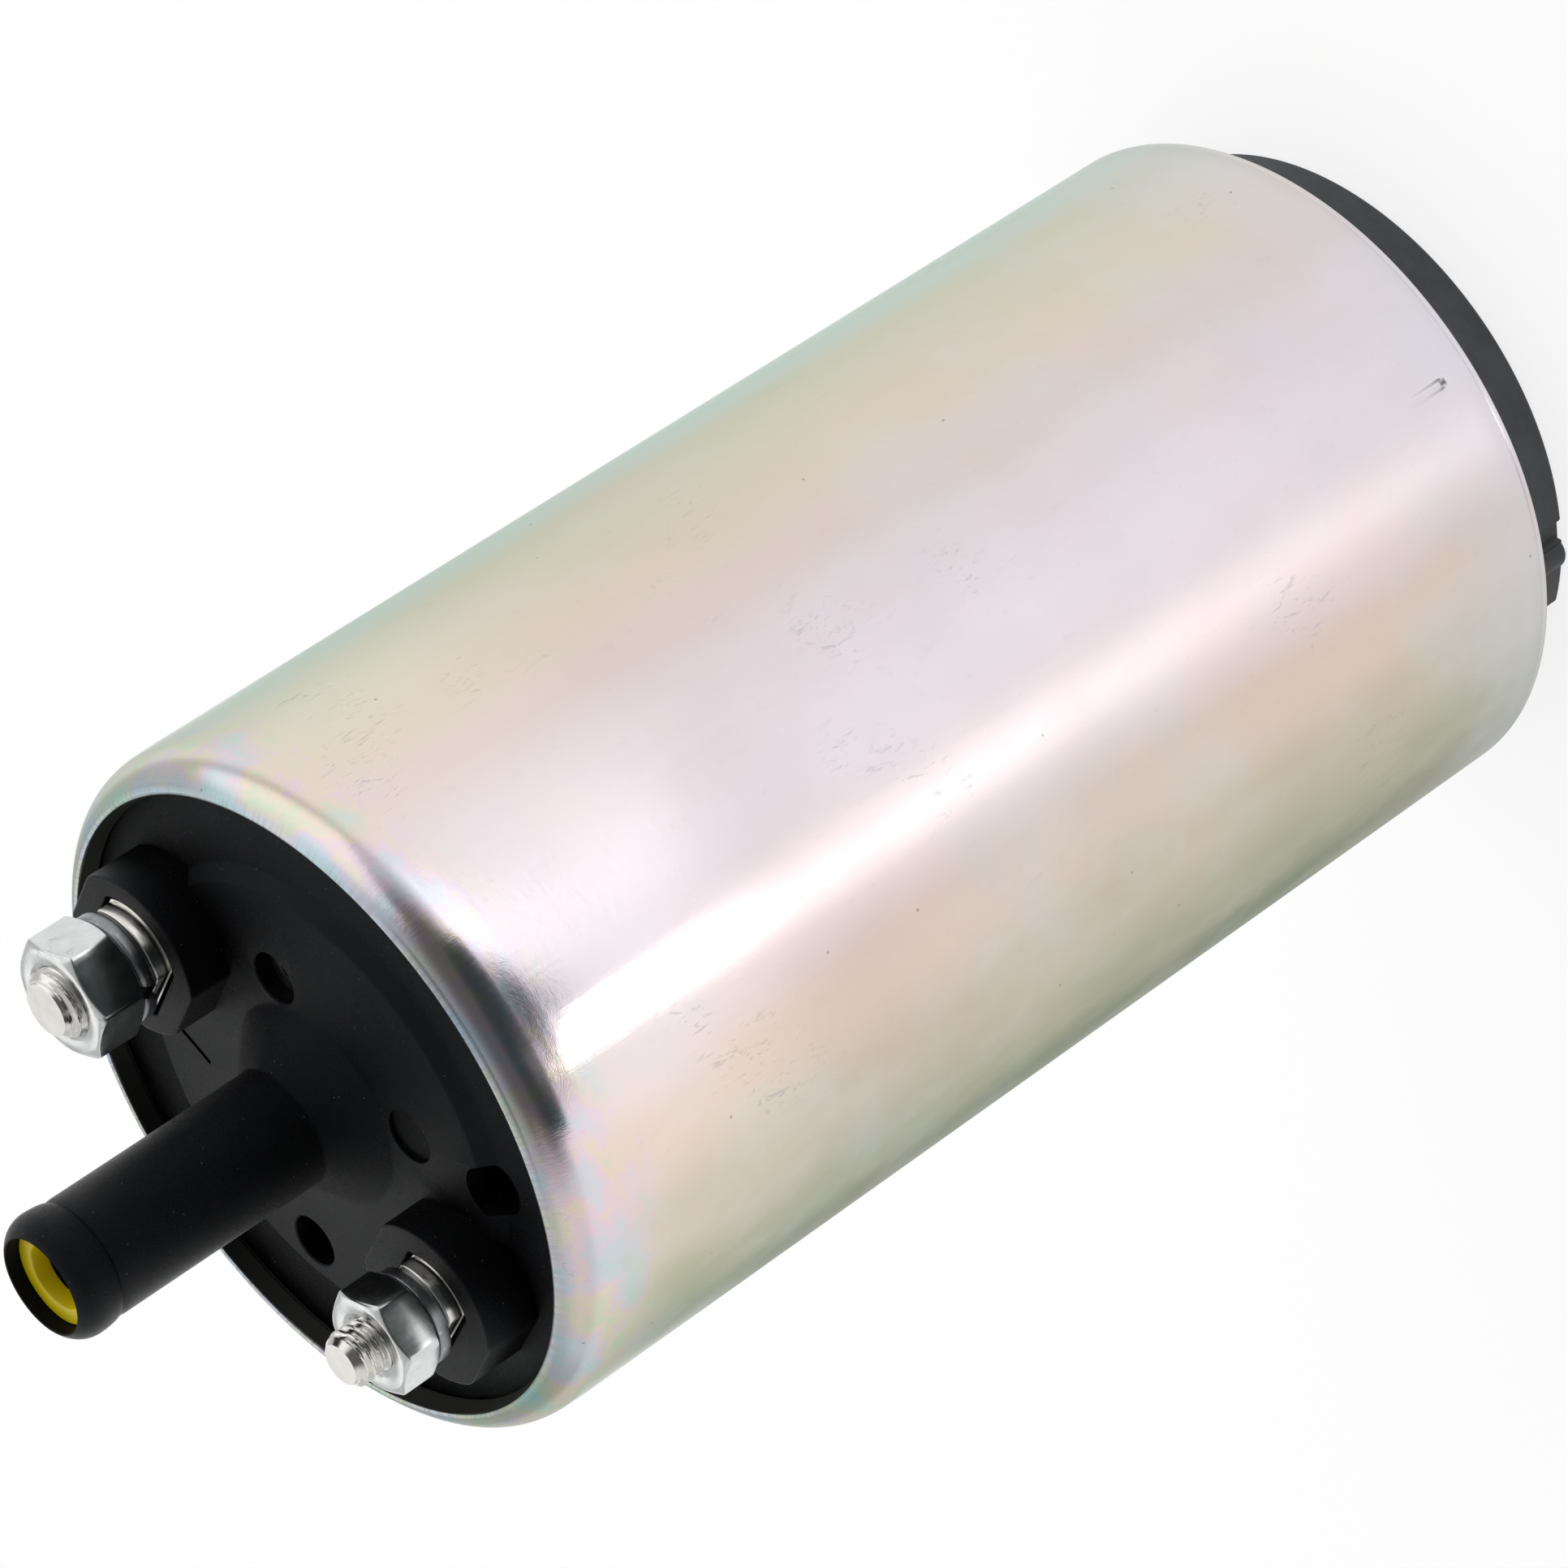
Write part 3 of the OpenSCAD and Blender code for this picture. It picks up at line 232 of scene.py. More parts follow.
# Inlet cover: the notches in its rim go by both sides and depth
FOOT_R = 22.1
FOOT_EDGE = 0.4
Z_INLET_TOP = 14.0
INLET_ANGLE = -156
INLET_OFFSET = 13.0
INLET_R = 4.6
INLET_DEPTH = 8.0
NOTCHES = ((-149.6, -144.6, 0.6), (-176, -163.5, 1.2))
Z_NOTCH = 4.8
LUG_AZIMUTH = -152.4
LUG_R = 1.35
LUG_OUT = 0.4
SOLE_R = (5.0, FOOT_R - 3)
SOLE_DEPTH = 1.2
CHANNEL_R = (13.6, 17.2)
CHANNEL_SIDES = (-168, 144)
CHANNEL_DEPTH = 1.8
PAD_R = 3.13
Z_PAD = 9.6

# Sides of one turn of a spring or coil
PER_TURN = 24

# Springs: node, joint, wire, turns, height of the fixed end and travel of the joint
SPRINGS = (("check_valve_spring", "check_valve_lift", 0.5, 7, 119.3, 2.0),
           ("relief_valve_spring", "relief_valve_lift", 0.35, 4, 96.168, 0.8),
           ("brush_spring_a", "brush_a_slide", 0.45, 6, 95.898, 2.0),
           ("brush_spring_b", "brush_b_slide", 0.45, 6, 95.898, 2.0))

# Brush leads: points of their curve seen from above, heights of both ends, and radius
LEAD_START = (0, 11.35)
LEAD_OUT = (0, 13.5)
LEAD_CONTROL = (4.41, 14.22)
LEAD_END = (12.6, 7.2)
LEAD_Z = (86.848, 91.217)
LEAD_R = 0.45

# Choke coils: place of the core's axis, coil radius and half length, wire, turns and tail
CHOKE_AT = (13.5, 89.398)
COIL_R = 2.165
COIL_HALF = 3.8
COIL_WIRE = 0.8
COIL_TURNS = 6
COIL_TAIL = 7.2


# Mesh building

def add_object(name, data):
    made = bpy.data.objects.new(name, data)
    bpy.context.scene.collection.objects.link(made)
    return made


def mesh_object(name, points, faces, smooth_angle=32):
    """A mesh of points in millimetres, shaded smooth up to an angle between faces."""
    mesh = bpy.data.meshes.new(name)
    mesh.from_pydata([Vector(p) * MM for p in points], [], faces)
    obj = add_object(name, mesh)
    tidy(obj)
    shade(obj, smooth_angle)
    return obj


def tidy(obj):
    """Merges doubled points and turns the faces outwards."""
    bm = bmesh.new()
    bm.from_mesh(obj.data)
    bmesh.ops.remove_doubles(bm, verts=bm.verts, dist=1e-7)
    bmesh.ops.recalc_face_normals(bm, faces=bm.faces)
    bm.to_mesh(obj.data)
    bm.free()


def shade(obj, angle):
    obj.data.shade_smooth()
    obj.data.set_sharp_from_angle(angle=math.radians(angle))


def clamp(value):
    """Holds a value between 0 and 1."""
    return min(max(value, 0), 1)


def ease(value):
    """Runs smoothly from 0 to 1, and holds at both ends."""
    held = clamp(value)
    return held * held * (3 - 2 * held)


def polar(r, azimuth):
    """The point at a radius and an azimuth in degrees."""
    a = math.radians(azimuth)
    return r * math.cos(a), r * math.sin(a)


def skin(rings, count):
    """Faces over rings of points, with the same count of points each, and a cap at both ends."""
    faces = [list(range(count))[::-1]]
    for ring in range(rings - 1):
        low, high = ring * count, (ring + 1) * count
        for k in range(count):
            m = (k + 1) % count
            faces.append([low + k, low + m, high + m, high + k])
    top = (rings - 1) * count
    faces.append([top + k for k in range(count)])
    return faces


def arc(cx, cy, r, a0, a1, n):
    """Points of an arc about a centre."""
    return [(cx + r * math.cos(math.radians(a0 + (a1 - a0) * i / n)),
             cy + r * math.sin(math.radians(a0 + (a1 - a0) * i / n))) for i in range(n + 1)]


def soften(points, radius, n=3, keep_axis=True):
    """Rounds the corners of a closed outline by up to a radius."""
    out = []
    count = len(points)
    for i, p in enumerate(points):
        p = Vector(p)
        a = Vector(points[i - 1]) - p
        b = Vector(points[(i + 1) % count]) - p
        on_axis = keep_axis and abs(p.x) < 1e-9
        if on_axis or a.length < 1e-9 or b.length < 1e-9 or a.angle(b) > math.radians(155):
            out.append(tuple(p))
            continue
        start = p + a.normalized() * min(radius, 0.4 * a.length)
        end = p + b.normalized() * min(radius, 0.4 * b.length)
        for k in range(n + 1):
            s = k / n
            out.append(tuple((1 - s) ** 2 * start + 2 * s * (1 - s) * p + s * s * end))
    return out


def lathe(name, profile, segments=128, at=(0, 0), angles=None, warp=None):
    """Turns a closed (r, z) outline about a vertical axis. warp may move a point by its place."""
    angles = angles or [2 * math.pi * i / segments for i in range(segments)]
    count = len(angles)
    points, rings = [], []
    for r, z in profile:
        if r < 1e-9:
            rings.append([len(points)] * count)
            points.append((at[0], at[1], z))
            continue
        rings.append(list(range(len(points), len(points) + count)))
        for a in angles:
            rr, zz = warp(r, z, a) if warp else (r, z)
            points.append((at[0] + rr * math.cos(a), at[1] + rr * math.sin(a), zz))
    faces = []
    for i, low in enumerate(rings):
        high = rings[(i + 1) % len(rings)]
        for k in range(count):
            m = (k + 1) % count
            face = []
            for v in (low[k], low[m], high[m], high[k]):
                if v not in face:
                    face.append(v)
            if len(face) > 2:
                faces.append(face)
    return mesh_object(name, points, faces)


def double_flat(r, half, n):
    """Outline of a circle cut by two flats at x = -half and x = half."""
    turn = math.degrees(math.acos(half / r))
    return arc(0, 0, r, turn, 180 - turn, n) + arc(0, 0, r, 180 + turn, 360 - turn, n)


def prism(name, outline, z0, z1, at=(0, 0), top_edge=0.0, mouth=0.0):
    """Extrudes a convex outline. top_edge rounds the top inwards, mouth flares it outwards."""
    base = [Vector(p) for p in outline]
    count = len(base)
    normals = []
    for i in range(count):
        along = base[(i + 1) % count] - base[i - 1]
        normals.append(Vector((along.y, -along.x)).normalized())
    levels = [(z0, 0.0)]
    if top_edge:
        levels += [(z1 - top_edge + top_edge * math.sin(math.radians(a)),
                    -top_edge * (1 - math.cos(math.radians(a)))) for a in (0, 30, 60, 90)]
    elif mouth:
        levels += [(z1 - mouth, 0.0), (z1, mouth), (z1 + 1, mouth + 1)]
    else:
        levels.append((z1, 0.0))
    points = []
    for z, out in levels:
        for p, normal in zip(base, normals):
            q = p + normal * out
            points.append((at[0] + q.x, at[1] + q.y, z))
    return mesh_object(name, points, skin(len(levels), count))


def combine(obj, tool, how):
    """Cuts with, or joins on, another object, and removes that object."""
    modifier = obj.modifiers.new("combine", "BOOLEAN")
    modifier.operation = how
    modifier.solver = "EXACT"
    modifier.object = tool
    bpy.context.view_layer.update()
    depsgraph = bpy.context.evaluated_depsgraph_get()
    result = bpy.data.meshes.new_from_object(obj.evaluated_get(depsgraph))
    obj.modifiers.clear()
    obj.data = result
    bpy.data.objects.remove(tool)


def cut(obj, tool):
    """Cuts with another object, and removes it."""
    combine(obj, tool, "DIFFERENCE")


def round_cutter(at, r, z0, z1, mouth=0.12):
    """A round cutter whose top flares, so that the hole it makes has a small chamfer."""
    outline = [(0, z0), (r, z0), (r, z1 - mouth), (r + mouth, z1), (r + mouth + 1, z1 + 1),
               (0, z1 + 1)]
    return lathe("cutter", outline, 64, at)


def block(x0, x1, y0, y1, z0, z1):
    return prism("cutter", [(x1, y0), (x1, y1), (x0, y1), (x0, y0)], z0, z1)


# Shell

def shell_profile():
    inner = ROLL_R - WALL
    line = Z_REAR + REAR_LINE
    mark_step, ease_step, body_steps = 0.15, 0.2, 24
    mark_rows = [MARK_Z[0] - 0.5 + mark_step * i for i in range(32)]
    mark_end = mark_rows[-1]
    body_rows = [mark_end + (Z_ROLL - mark_end) * i / body_steps for i in range(1, body_steps)]
    ease_rows = [EASE_Z + ease_step * i for i in range(int((Z_ROLL - EASE_Z) / ease_step))]
    outline = [(FOOT_R + 0.1, Z_REAR + 0.12), (FOOT_R + 0.22, Z_REAR)]
    outline += arc(BODY_R - REAR_EDGE, Z_REAR + REAR_EDGE, REAR_EDGE, -90, 0, 8)
    outline += [(BODY_R, line - 0.09), (BODY_R - 0.04, line), (BODY_R, line + 0.09)]
    outline += [(BODY_R, z) for z in mark_rows + body_rows + ease_rows]
    outline += arc(ROLL_AXIS_R, Z_ROLL, ROLL_R, 0, FRONT_TURN - 4, 28)
    outline += cut_edge(inner)
    outline += arc(ROLL_AXIS_R, Z_ROLL, inner, FRONT_TURN - 6, 0, 10)
    outline += [(BODY_R - WALL, Z_REAR + WALL), (FOOT_R + 0.1, Z_REAR + WALL)]
    return outline


def cut_edge(inner):
    """The sheared end of the wall, with both corners slightly rounded."""
    round_by = 0.16
    angle = math.radians(FRONT_TURN)
    tilt = Vector((-math.sin(angle), math.cos(angle)))
    out = []
    for r in (ROLL_R - 0.02, ROLL_R - round_by, 0.5 * (ROLL_R + inner), inner + round_by,
              inner + 0.02):
        back = round_by if r > ROLL_R - 0.05 or r < inner + 0.05 else 0.0
        p = Vector((ROLL_AXIS_R + r * math.cos(angle), Z_ROLL + r * math.sin(angle)))
        out.append(tuple(p - tilt * back))
    return out


def shell_angles():
    """Even steps round the shell, with finer ones at the pressed mark."""
    fine = [MARK_AZIMUTH + 0.09 * i for i in range(-20, 21)]
    coarse = [MARK_AZIMUTH + 2 + i for i in range(357)]
    return [math.radians(a) for a in fine + coarse]


def pressed(r, z, a):
    """Pushes the shell in at the mark: steep at its rear end, fading towards the front."""
    if r < BODY_R - 0.01 or not MARK_Z[0] - 1 < z < MARK_Z[1] + 2:
        return r
    across = (math.degrees(a) - MARK_AZIMUTH + 180) % 360 - 180
    x = math.radians(across) * BODY_R
    low, high = MARK_Z[0] + MARK_W / 2, MARK_Z[1] - MARK_W / 2
    along = max(low - z, 0, z - high)
    d = math.hypot(x, along) - MARK_W / 2
    floor_edge, wall_run = -0.22, 0.34
    press = ease(1 - (d - floor_edge) / wall_run)
    fade = 1 - 0.75 * clamp((z - low) / (high - low))
    return r - MARK_DEPTH * press * fade


def shell_warp(r, z, a):
    """The pressed mark, the easing into the roll, and the waviness of the front edge."""
    r = pressed(r, z, a)
    if r > BODY_R - WALL - 0.01:
        r -= EASE_IN * ease((z - EASE_Z) / EASE_RUN)
    wave_run = 1.2
    share = clamp((z - (Z_LIP - wave_run)) / wave_run) * clamp(ROLL_AXIS_R + WALL - r)
    wave = sum(size * math.sin(number * a + phase) for size, number, phase in EDGE_WAVES) * share
    return r + wave, z + 0.5 * wave


def make_shell():
    return lathe("shell", shell_profile(), angles=shell_angles(), warp=shell_warp)


# Outlet cover

def cover_profile():
    roll = ROLL_R - WALL - 0.1
    top_turn = math.degrees(math.asin((Z_RING - Z_ROLL) / roll))
    edge = 0.12
    foot, head = Vector((FLARE_R, Z_PLATEAU)), Vector((PIPE_R, Z_PLATEAU + FLARE_H))
    slope = (head - foot).normalized() * edge
    flare = [(FLARE_R + edge, Z_PLATEAU), tuple(foot + slope), tuple(head - slope),
             (PIPE_R, Z_PLATEAU + FLARE_H + edge)]
    groove_r = PIPE_R - STEP_DEPTH
    bead = [(groove_r + (BEAD_R - groove_r) * math.sin(math.radians(9 * i)),
             Z_BEAD - (Z_BEAD - Z_STEP) * math.cos(math.radians(9 * i))) for i in range(11)]
    nose_end = math.degrees(math.acos((PIPE_BORE + edge - BEAD_R + NOSE_R) / NOSE_R))
    nose = arc(BEAD_R - NOSE_R, Z_BEAD, NOSE_R, 5, nose_end, 14)
    outline = [(SKIRT_IN, Z_SKIRT), (HELD_R, Z_SKIRT)]
    outline += arc(ROLL_AXIS_R, Z_ROLL, roll, 0, top_turn, 8)
    outline += [(PLATEAU_R + BAND_RUN + edge, Z_RING), (PLATEAU_R + BAND_RUN - 0.08, Z_RING + 0.07),
                (PLATEAU_R + 0.1, Z_PLATEAU - 0.08), (PLATEAU_R - 0.08, Z_PLATEAU)]
    outline += flare
    outline += [(PIPE_R, 0.25 * Z_PLATEAU + 0.75 * Z_STEP), (PIPE_R, Z_STEP - 0.6),
                (PIPE_R - 0.02, Z_STEP - 0.4), (PIPE_R - 0.07, Z_STEP - 0.2)]
    outline += bead + nose
    outline += [(PIPE_BORE + 0.02, nose[-1][1] - 0.05), (PIPE_BORE, nose[-1][1] - 0.2),
                (PIPE_BORE, Z_SEAT), (FEED_R, Z_SEAT - (PIPE_BORE - FEED_R)),
                (FEED_R, Z_UNDER), (SKIRT_IN, Z_UNDER)]
    return outline


def make_cover():
    cover = lathe("cover", cover_profile(), 256)
    low, high = Z_RELIEF_SEAT - 1.4, Z_UNDER + 0.5
    relief = [(0, low), (RELIEF_BOSS_R, low), (RELIEF_BOSS_R, high), (0, high)]
    combine(cover, lathe("relief_boss", relief, 64, RELIEF_AT), "UNION")
    outline = soften(double_flat(BOSS_R, BOSS_HALF, 28), 0.3, 3, keep_axis=False)
    for terminal in (LARGE, SMALL):
        at = (terminal["side"] * STUD_X, 0)
        combine(cover, prism("boss", outline, Z_RING - 1, Z_BOSS, at, top_edge=0.14), "UNION")
    for terminal in (LARGE, SMALL):
        at = (terminal["side"] * STUD_X, 0)
        pocket = double_flat(terminal["shoulder"] + POCKET_CLEAR / 2,
                             terminal["half"] + POCKET_CLEAR, 24)
        cut(cover, prism("cutter", pocket, Z_POCKET, Z_BOSS, at, mouth=0.06))
        cut(cover, round_cutter(at, terminal["d"] / 2 + 0.03, Z_UNDER - 1, Z_POCKET + 0.05, 0.02))
    for hole in ((RELIEF_AT, PORT_R, Z_RELIEF_SEAT, Z_PLATEAU, 0.1),
                 (RELIEF_AT, RELIEF_SEAT_R, Z_RELIEF_SEAT - 2, Z_RELIEF_SEAT, 0.12),
                 (BLIND_AT, PORT_R, Z_BLIND, Z_PLATEAU, 0.1),
                 (DIMPLE_AT, PORT_R + 0.05, Z_PLATEAU - DIMPLE_DEPTH, Z_PLATEAU, 0.06),
                 (BAND_AT, PORT_R + 0.1, Z_BAND_FLOOR, Z_PLATEAU, 0.02)):
        cut(cover, round_cutter(*hole))
    cut(cover, block(*GROOVE_X, *GROOVE_Y, Z_PLATEAU - GROOVE_DEPTH, Z_PLATEAU + 1))
    for side in (1, -1):
        cut(cover, round_cutter((0, side * BRUSH_Y), SPRING_POCKET_R, Z_UNDER - 1,
                                Z_UNDER + SPRING_POCKET_H - 1))
    shade(cover, 32)
    return cover


# Terminals

def thread_radius(d, pitch, z, a, z_tip, chamfer):
    """Radius of a thread at a height and an angle, with its chamfered end."""
    depth = 0.55 * pitch
    half_crest, flank_run = 0.07, 0.34
    phase = (z / pitch - a / (2 * math.pi)) % 1.0
    flank = clamp((abs(phase - 0.5) - half_crest) / flank_run)
    r = d / 2 - depth * (0.35 * ease(flank) + 0.65 * flank)
    end = d / 2 - chamfer - 0.05 + (z_tip - z) * 0.9
    return min(r, max(end, 0.2))


def make_stud(name, t):
    """Shoulder with two flats, and the threaded shank with a faced, chamfered end."""
    x = t["side"] * STUD_X
    chamfer = 0.5 * t["pitch"] + 0.12
    z_low = Z_SHOULDER - 0.3
    rows, count = 140, 112
    points = []
    for j in range(rows + 1):
        z = z_low + (t["tip"] - z_low) * j / rows
        for k in range(count):
            a = 2 * math.pi * k / count
            r = thread_radius(t["d"], t["pitch"], z, a, t["tip"], chamfer)
            points.append((x + r * math.cos(a), r * math.sin(a), z))
    shank = mesh_object(name, points, skin(rows + 1, count), 45)
    r = t["d"] / 2
    low, step, high = Z_UNDER - 1.3, Z_UNDER - 0.05, Z_POCKET + 0.3
    root = lathe("root", soften([(0, low), (STUD_FLANGE_R, low), (STUD_FLANGE_R, step), (r, step),
                                 (r, high), (0, high)], 0.15), 64, (x, 0))
    outline = soften(double_flat(t["shoulder"], t["half"], 24), 0.12, 2, keep_axis=False)
    ledge = prism("ledge", outline, Z_POCKET + 0.05, Z_LEDGE, (x, 0), top_edge=0.04)
    outline = soften(double_flat(t["shoulder"] - t["ledge"], t["half"] - 0.08, 24), 0.08, 2,
                     keep_axis=False)
    collar = prism("collar", outline, Z_POCKET + 0.1, Z_SHOULDER, (x, 0), top_edge=0.1)
    return join(shank, [root, ledge, collar])


def join(obj, others):
    """Joins meshes that keep their own shells into one object."""
    bm = bmesh.new()
    for part in [obj] + others:
        bm.from_mesh(part.data)
    bm.to_mesh(obj.data)
    bm.free()
    for part in others:
        bpy.data.objects.remove(part)
    shade(obj, 40)
    return obj


def hexagon(across, turn):
    """Outline of a hexagon with rounded corners and even points along its sides."""
    rounding, corner_steps, steps = 0.3, 4, 10
    corners = arc(0, 0, across / math.sqrt(3), turn, turn + 300, 5)
    soft = [Vector(p) for p in soften(corners, rounding, corner_steps, keep_axis=False)]
    outline = []
    for i, p in enumerate(soft):
        outline.append(p)
        if i % (corner_steps + 1) == corner_steps:
            along = soft[(i + 1) % len(soft)] - p
            outline += [p + along * k / steps for k in range(1, steps)]
    return outline


def nut_section(reach, t):
    """One side of a nut's section, where its side stands at a reach from the axis."""
    h = t["nut_h"]
    face_r = 0.475 * t["af"]
    slope = math.tan(math.radians(30))
    bore = t["d"] / 2 - 0.02
    mouth = t["d"] / 2 + 0.42
    edge = 0.06
    cone = (reach - face_r) * slope
    lower = [(bore, (mouth - bore) * 0.8), (mouth - 0.05, 0.04), (mouth + 0.03, 0),
             (face_r - edge, 0), (face_r + edge, edge * slope),
             (reach - edge, cone - edge * slope), (reach - 0.25 * edge, cone + 0.3 * edge),
             (reach, cone + 1.4 * edge)]
    return lower + [(r, h - z) for r, z in reversed(lower)]


def make_nut(name, t):
    """Hexagon nut with rounded corners, a cone on both faces and a countersunk bore."""
    x = t["side"] * STUD_X
    z0 = Z_SHOULDER + t["washer_t"]
    outline = hexagon(t["af"], t["turn"])
    points, faces = [], []
    for p in outline:
        out = p.normalized()
        for r, z in nut_section(p.length, t):
            points.append((x + out.x * r, out.y * r, z0 + z))
    rows = len(points) // len(outline)
    for i in range(len(outline)):
        low, high = i * rows, (i + 1) % len(outline) * rows
        for k in range(rows):
            m = (k + 1) % rows
            faces.append([low + k, high + k, high + m, low + m])
    return mesh_object(name, points, faces, 50)


def make_washer(name, t):
    """Split spring washer: a rounded square section swept round, with slanting ends."""
    x = t["side"] * STUD_X
    inner = t["d"] / 2 + 0.12
    gap = 0.42
    section = soften([(inner, 0), (t["washer_r"], 0), (t["washer_r"], t["washer_t"]),
                      (inner, t["washer_t"])], t["washer_round"], 5)
    middle = 0.5 * (inner + t["washer_r"])
    steps = 120
    points = []
    for i in range(steps + 1):
        s = i / steps
        for r, z in section:
            slant = 0.45 * (z - t["washer_t"] / 2) / middle
            near = 1 - 2 * min(s, 1 - s)
            a = math.radians(t["split"]) + gap / middle + s * (2 * math.pi - 2 * gap / middle)
            a += slant * near ** 6
            points.append((x + r * math.cos(a), r * math.sin(a), Z_SHOULDER + z))
    faces = skin(steps + 1, len(section))
    faces[0].reverse()
    faces[-1].reverse()
    return mesh_object(name, points, faces, 40)


# Check valve retainer

def make_retainer():
    inner, outer = RETAINER_R
    low, top = RETAINER_Z
    edge = 0.12
    outline = soften([(inner, low), (outer, low), (outer, top), (inner + 0.3, top - edge)], edge)
    return lathe("valve_retainer", outline, 96)


# Inlet cover

def foot_profile():
    outline = [(0, 0)] + arc(FOOT_R - FOOT_EDGE, FOOT_EDGE, FOOT_EDGE, -90, 0, 5)
    outline += [(FOOT_R, Z_REAR + WALL), (HELD_R, Z_REAR + WALL), (HELD_R, Z_INLET_TOP),
                (0, Z_INLET_TOP)]
    return outline


def sector_cutter(r0, r1, a0, a1, z0, z1):
    """A cutter between two radii, two azimuths in degrees and two heights."""
    n = 12
    outline = arc(0, 0, r1, a0, a1, n) + arc(0, 0, r0, a1, a0, n)
    points = [(x, y, z) for z in (z0, z1) for x, y in outline]
    return mesh_object("cutter", points, skin(2, len(outline)))


def make_foot():
    foot = lathe("foot", foot_profile(), 256)
    for start, end, depth in NOTCHES:
        cut(foot, sector_cutter(FOOT_R - depth, FOOT_R + 2, start, end, -1, Z_NOTCH))
    lift = 0.02
    lug = [(0, lift)] + arc(LUG_R - FOOT_EDGE, FOOT_EDGE + lift, FOOT_EDGE, -90, 0, 4)
    lug += [(LUG_R, Z_NOTCH), (0, Z_NOTCH)]
    lug_at = polar(FOOT_R + LUG_OUT - LUG_R, LUG_AZIMUTH)
    combine(foot, lathe("lug", lug, 48, lug_at), "UNION")
    socket = polar(INLET_OFFSET, INLET_ANGLE)
    inner, outer = SOLE_R
    sole = lathe("cutter", soften([(inner, -1), (outer, -1), (outer, SOLE_DEPTH),
                                   (inner, SOLE_DEPTH)], 0.1, 2), 192)
    wall_r = INLET_R + 1.6
    cut(sole, lathe("cutter", [(0, -2), (wall_r, -2), (wall_r, 2), (0, 2)], 96, socket))
    cut(foot, sole)
    above = Z_INLET_TOP + 1
    bore = lathe("cutter", [(0, -1), (INLET_R + 1.2, -1), (INLET_R, 0.2), (INLET_R, INLET_DEPTH),
                            (INLET_R - 1, INLET_DEPTH), (INLET_R - 1, above), (0, above)],
                 96, socket)
    cut(foot, bore)
    cut(foot, sector_cutter(*CHANNEL_R, *CHANNEL_SIDES, Z_INLET_TOP - CHANNEL_DEPTH, above))
    cut(foot, lathe("cutter", [(0, Z_PAD), (PAD_R, Z_PAD), (PAD_R, above), (0, above)], 64))
    shade(foot, 30)
    return foot


# Materials

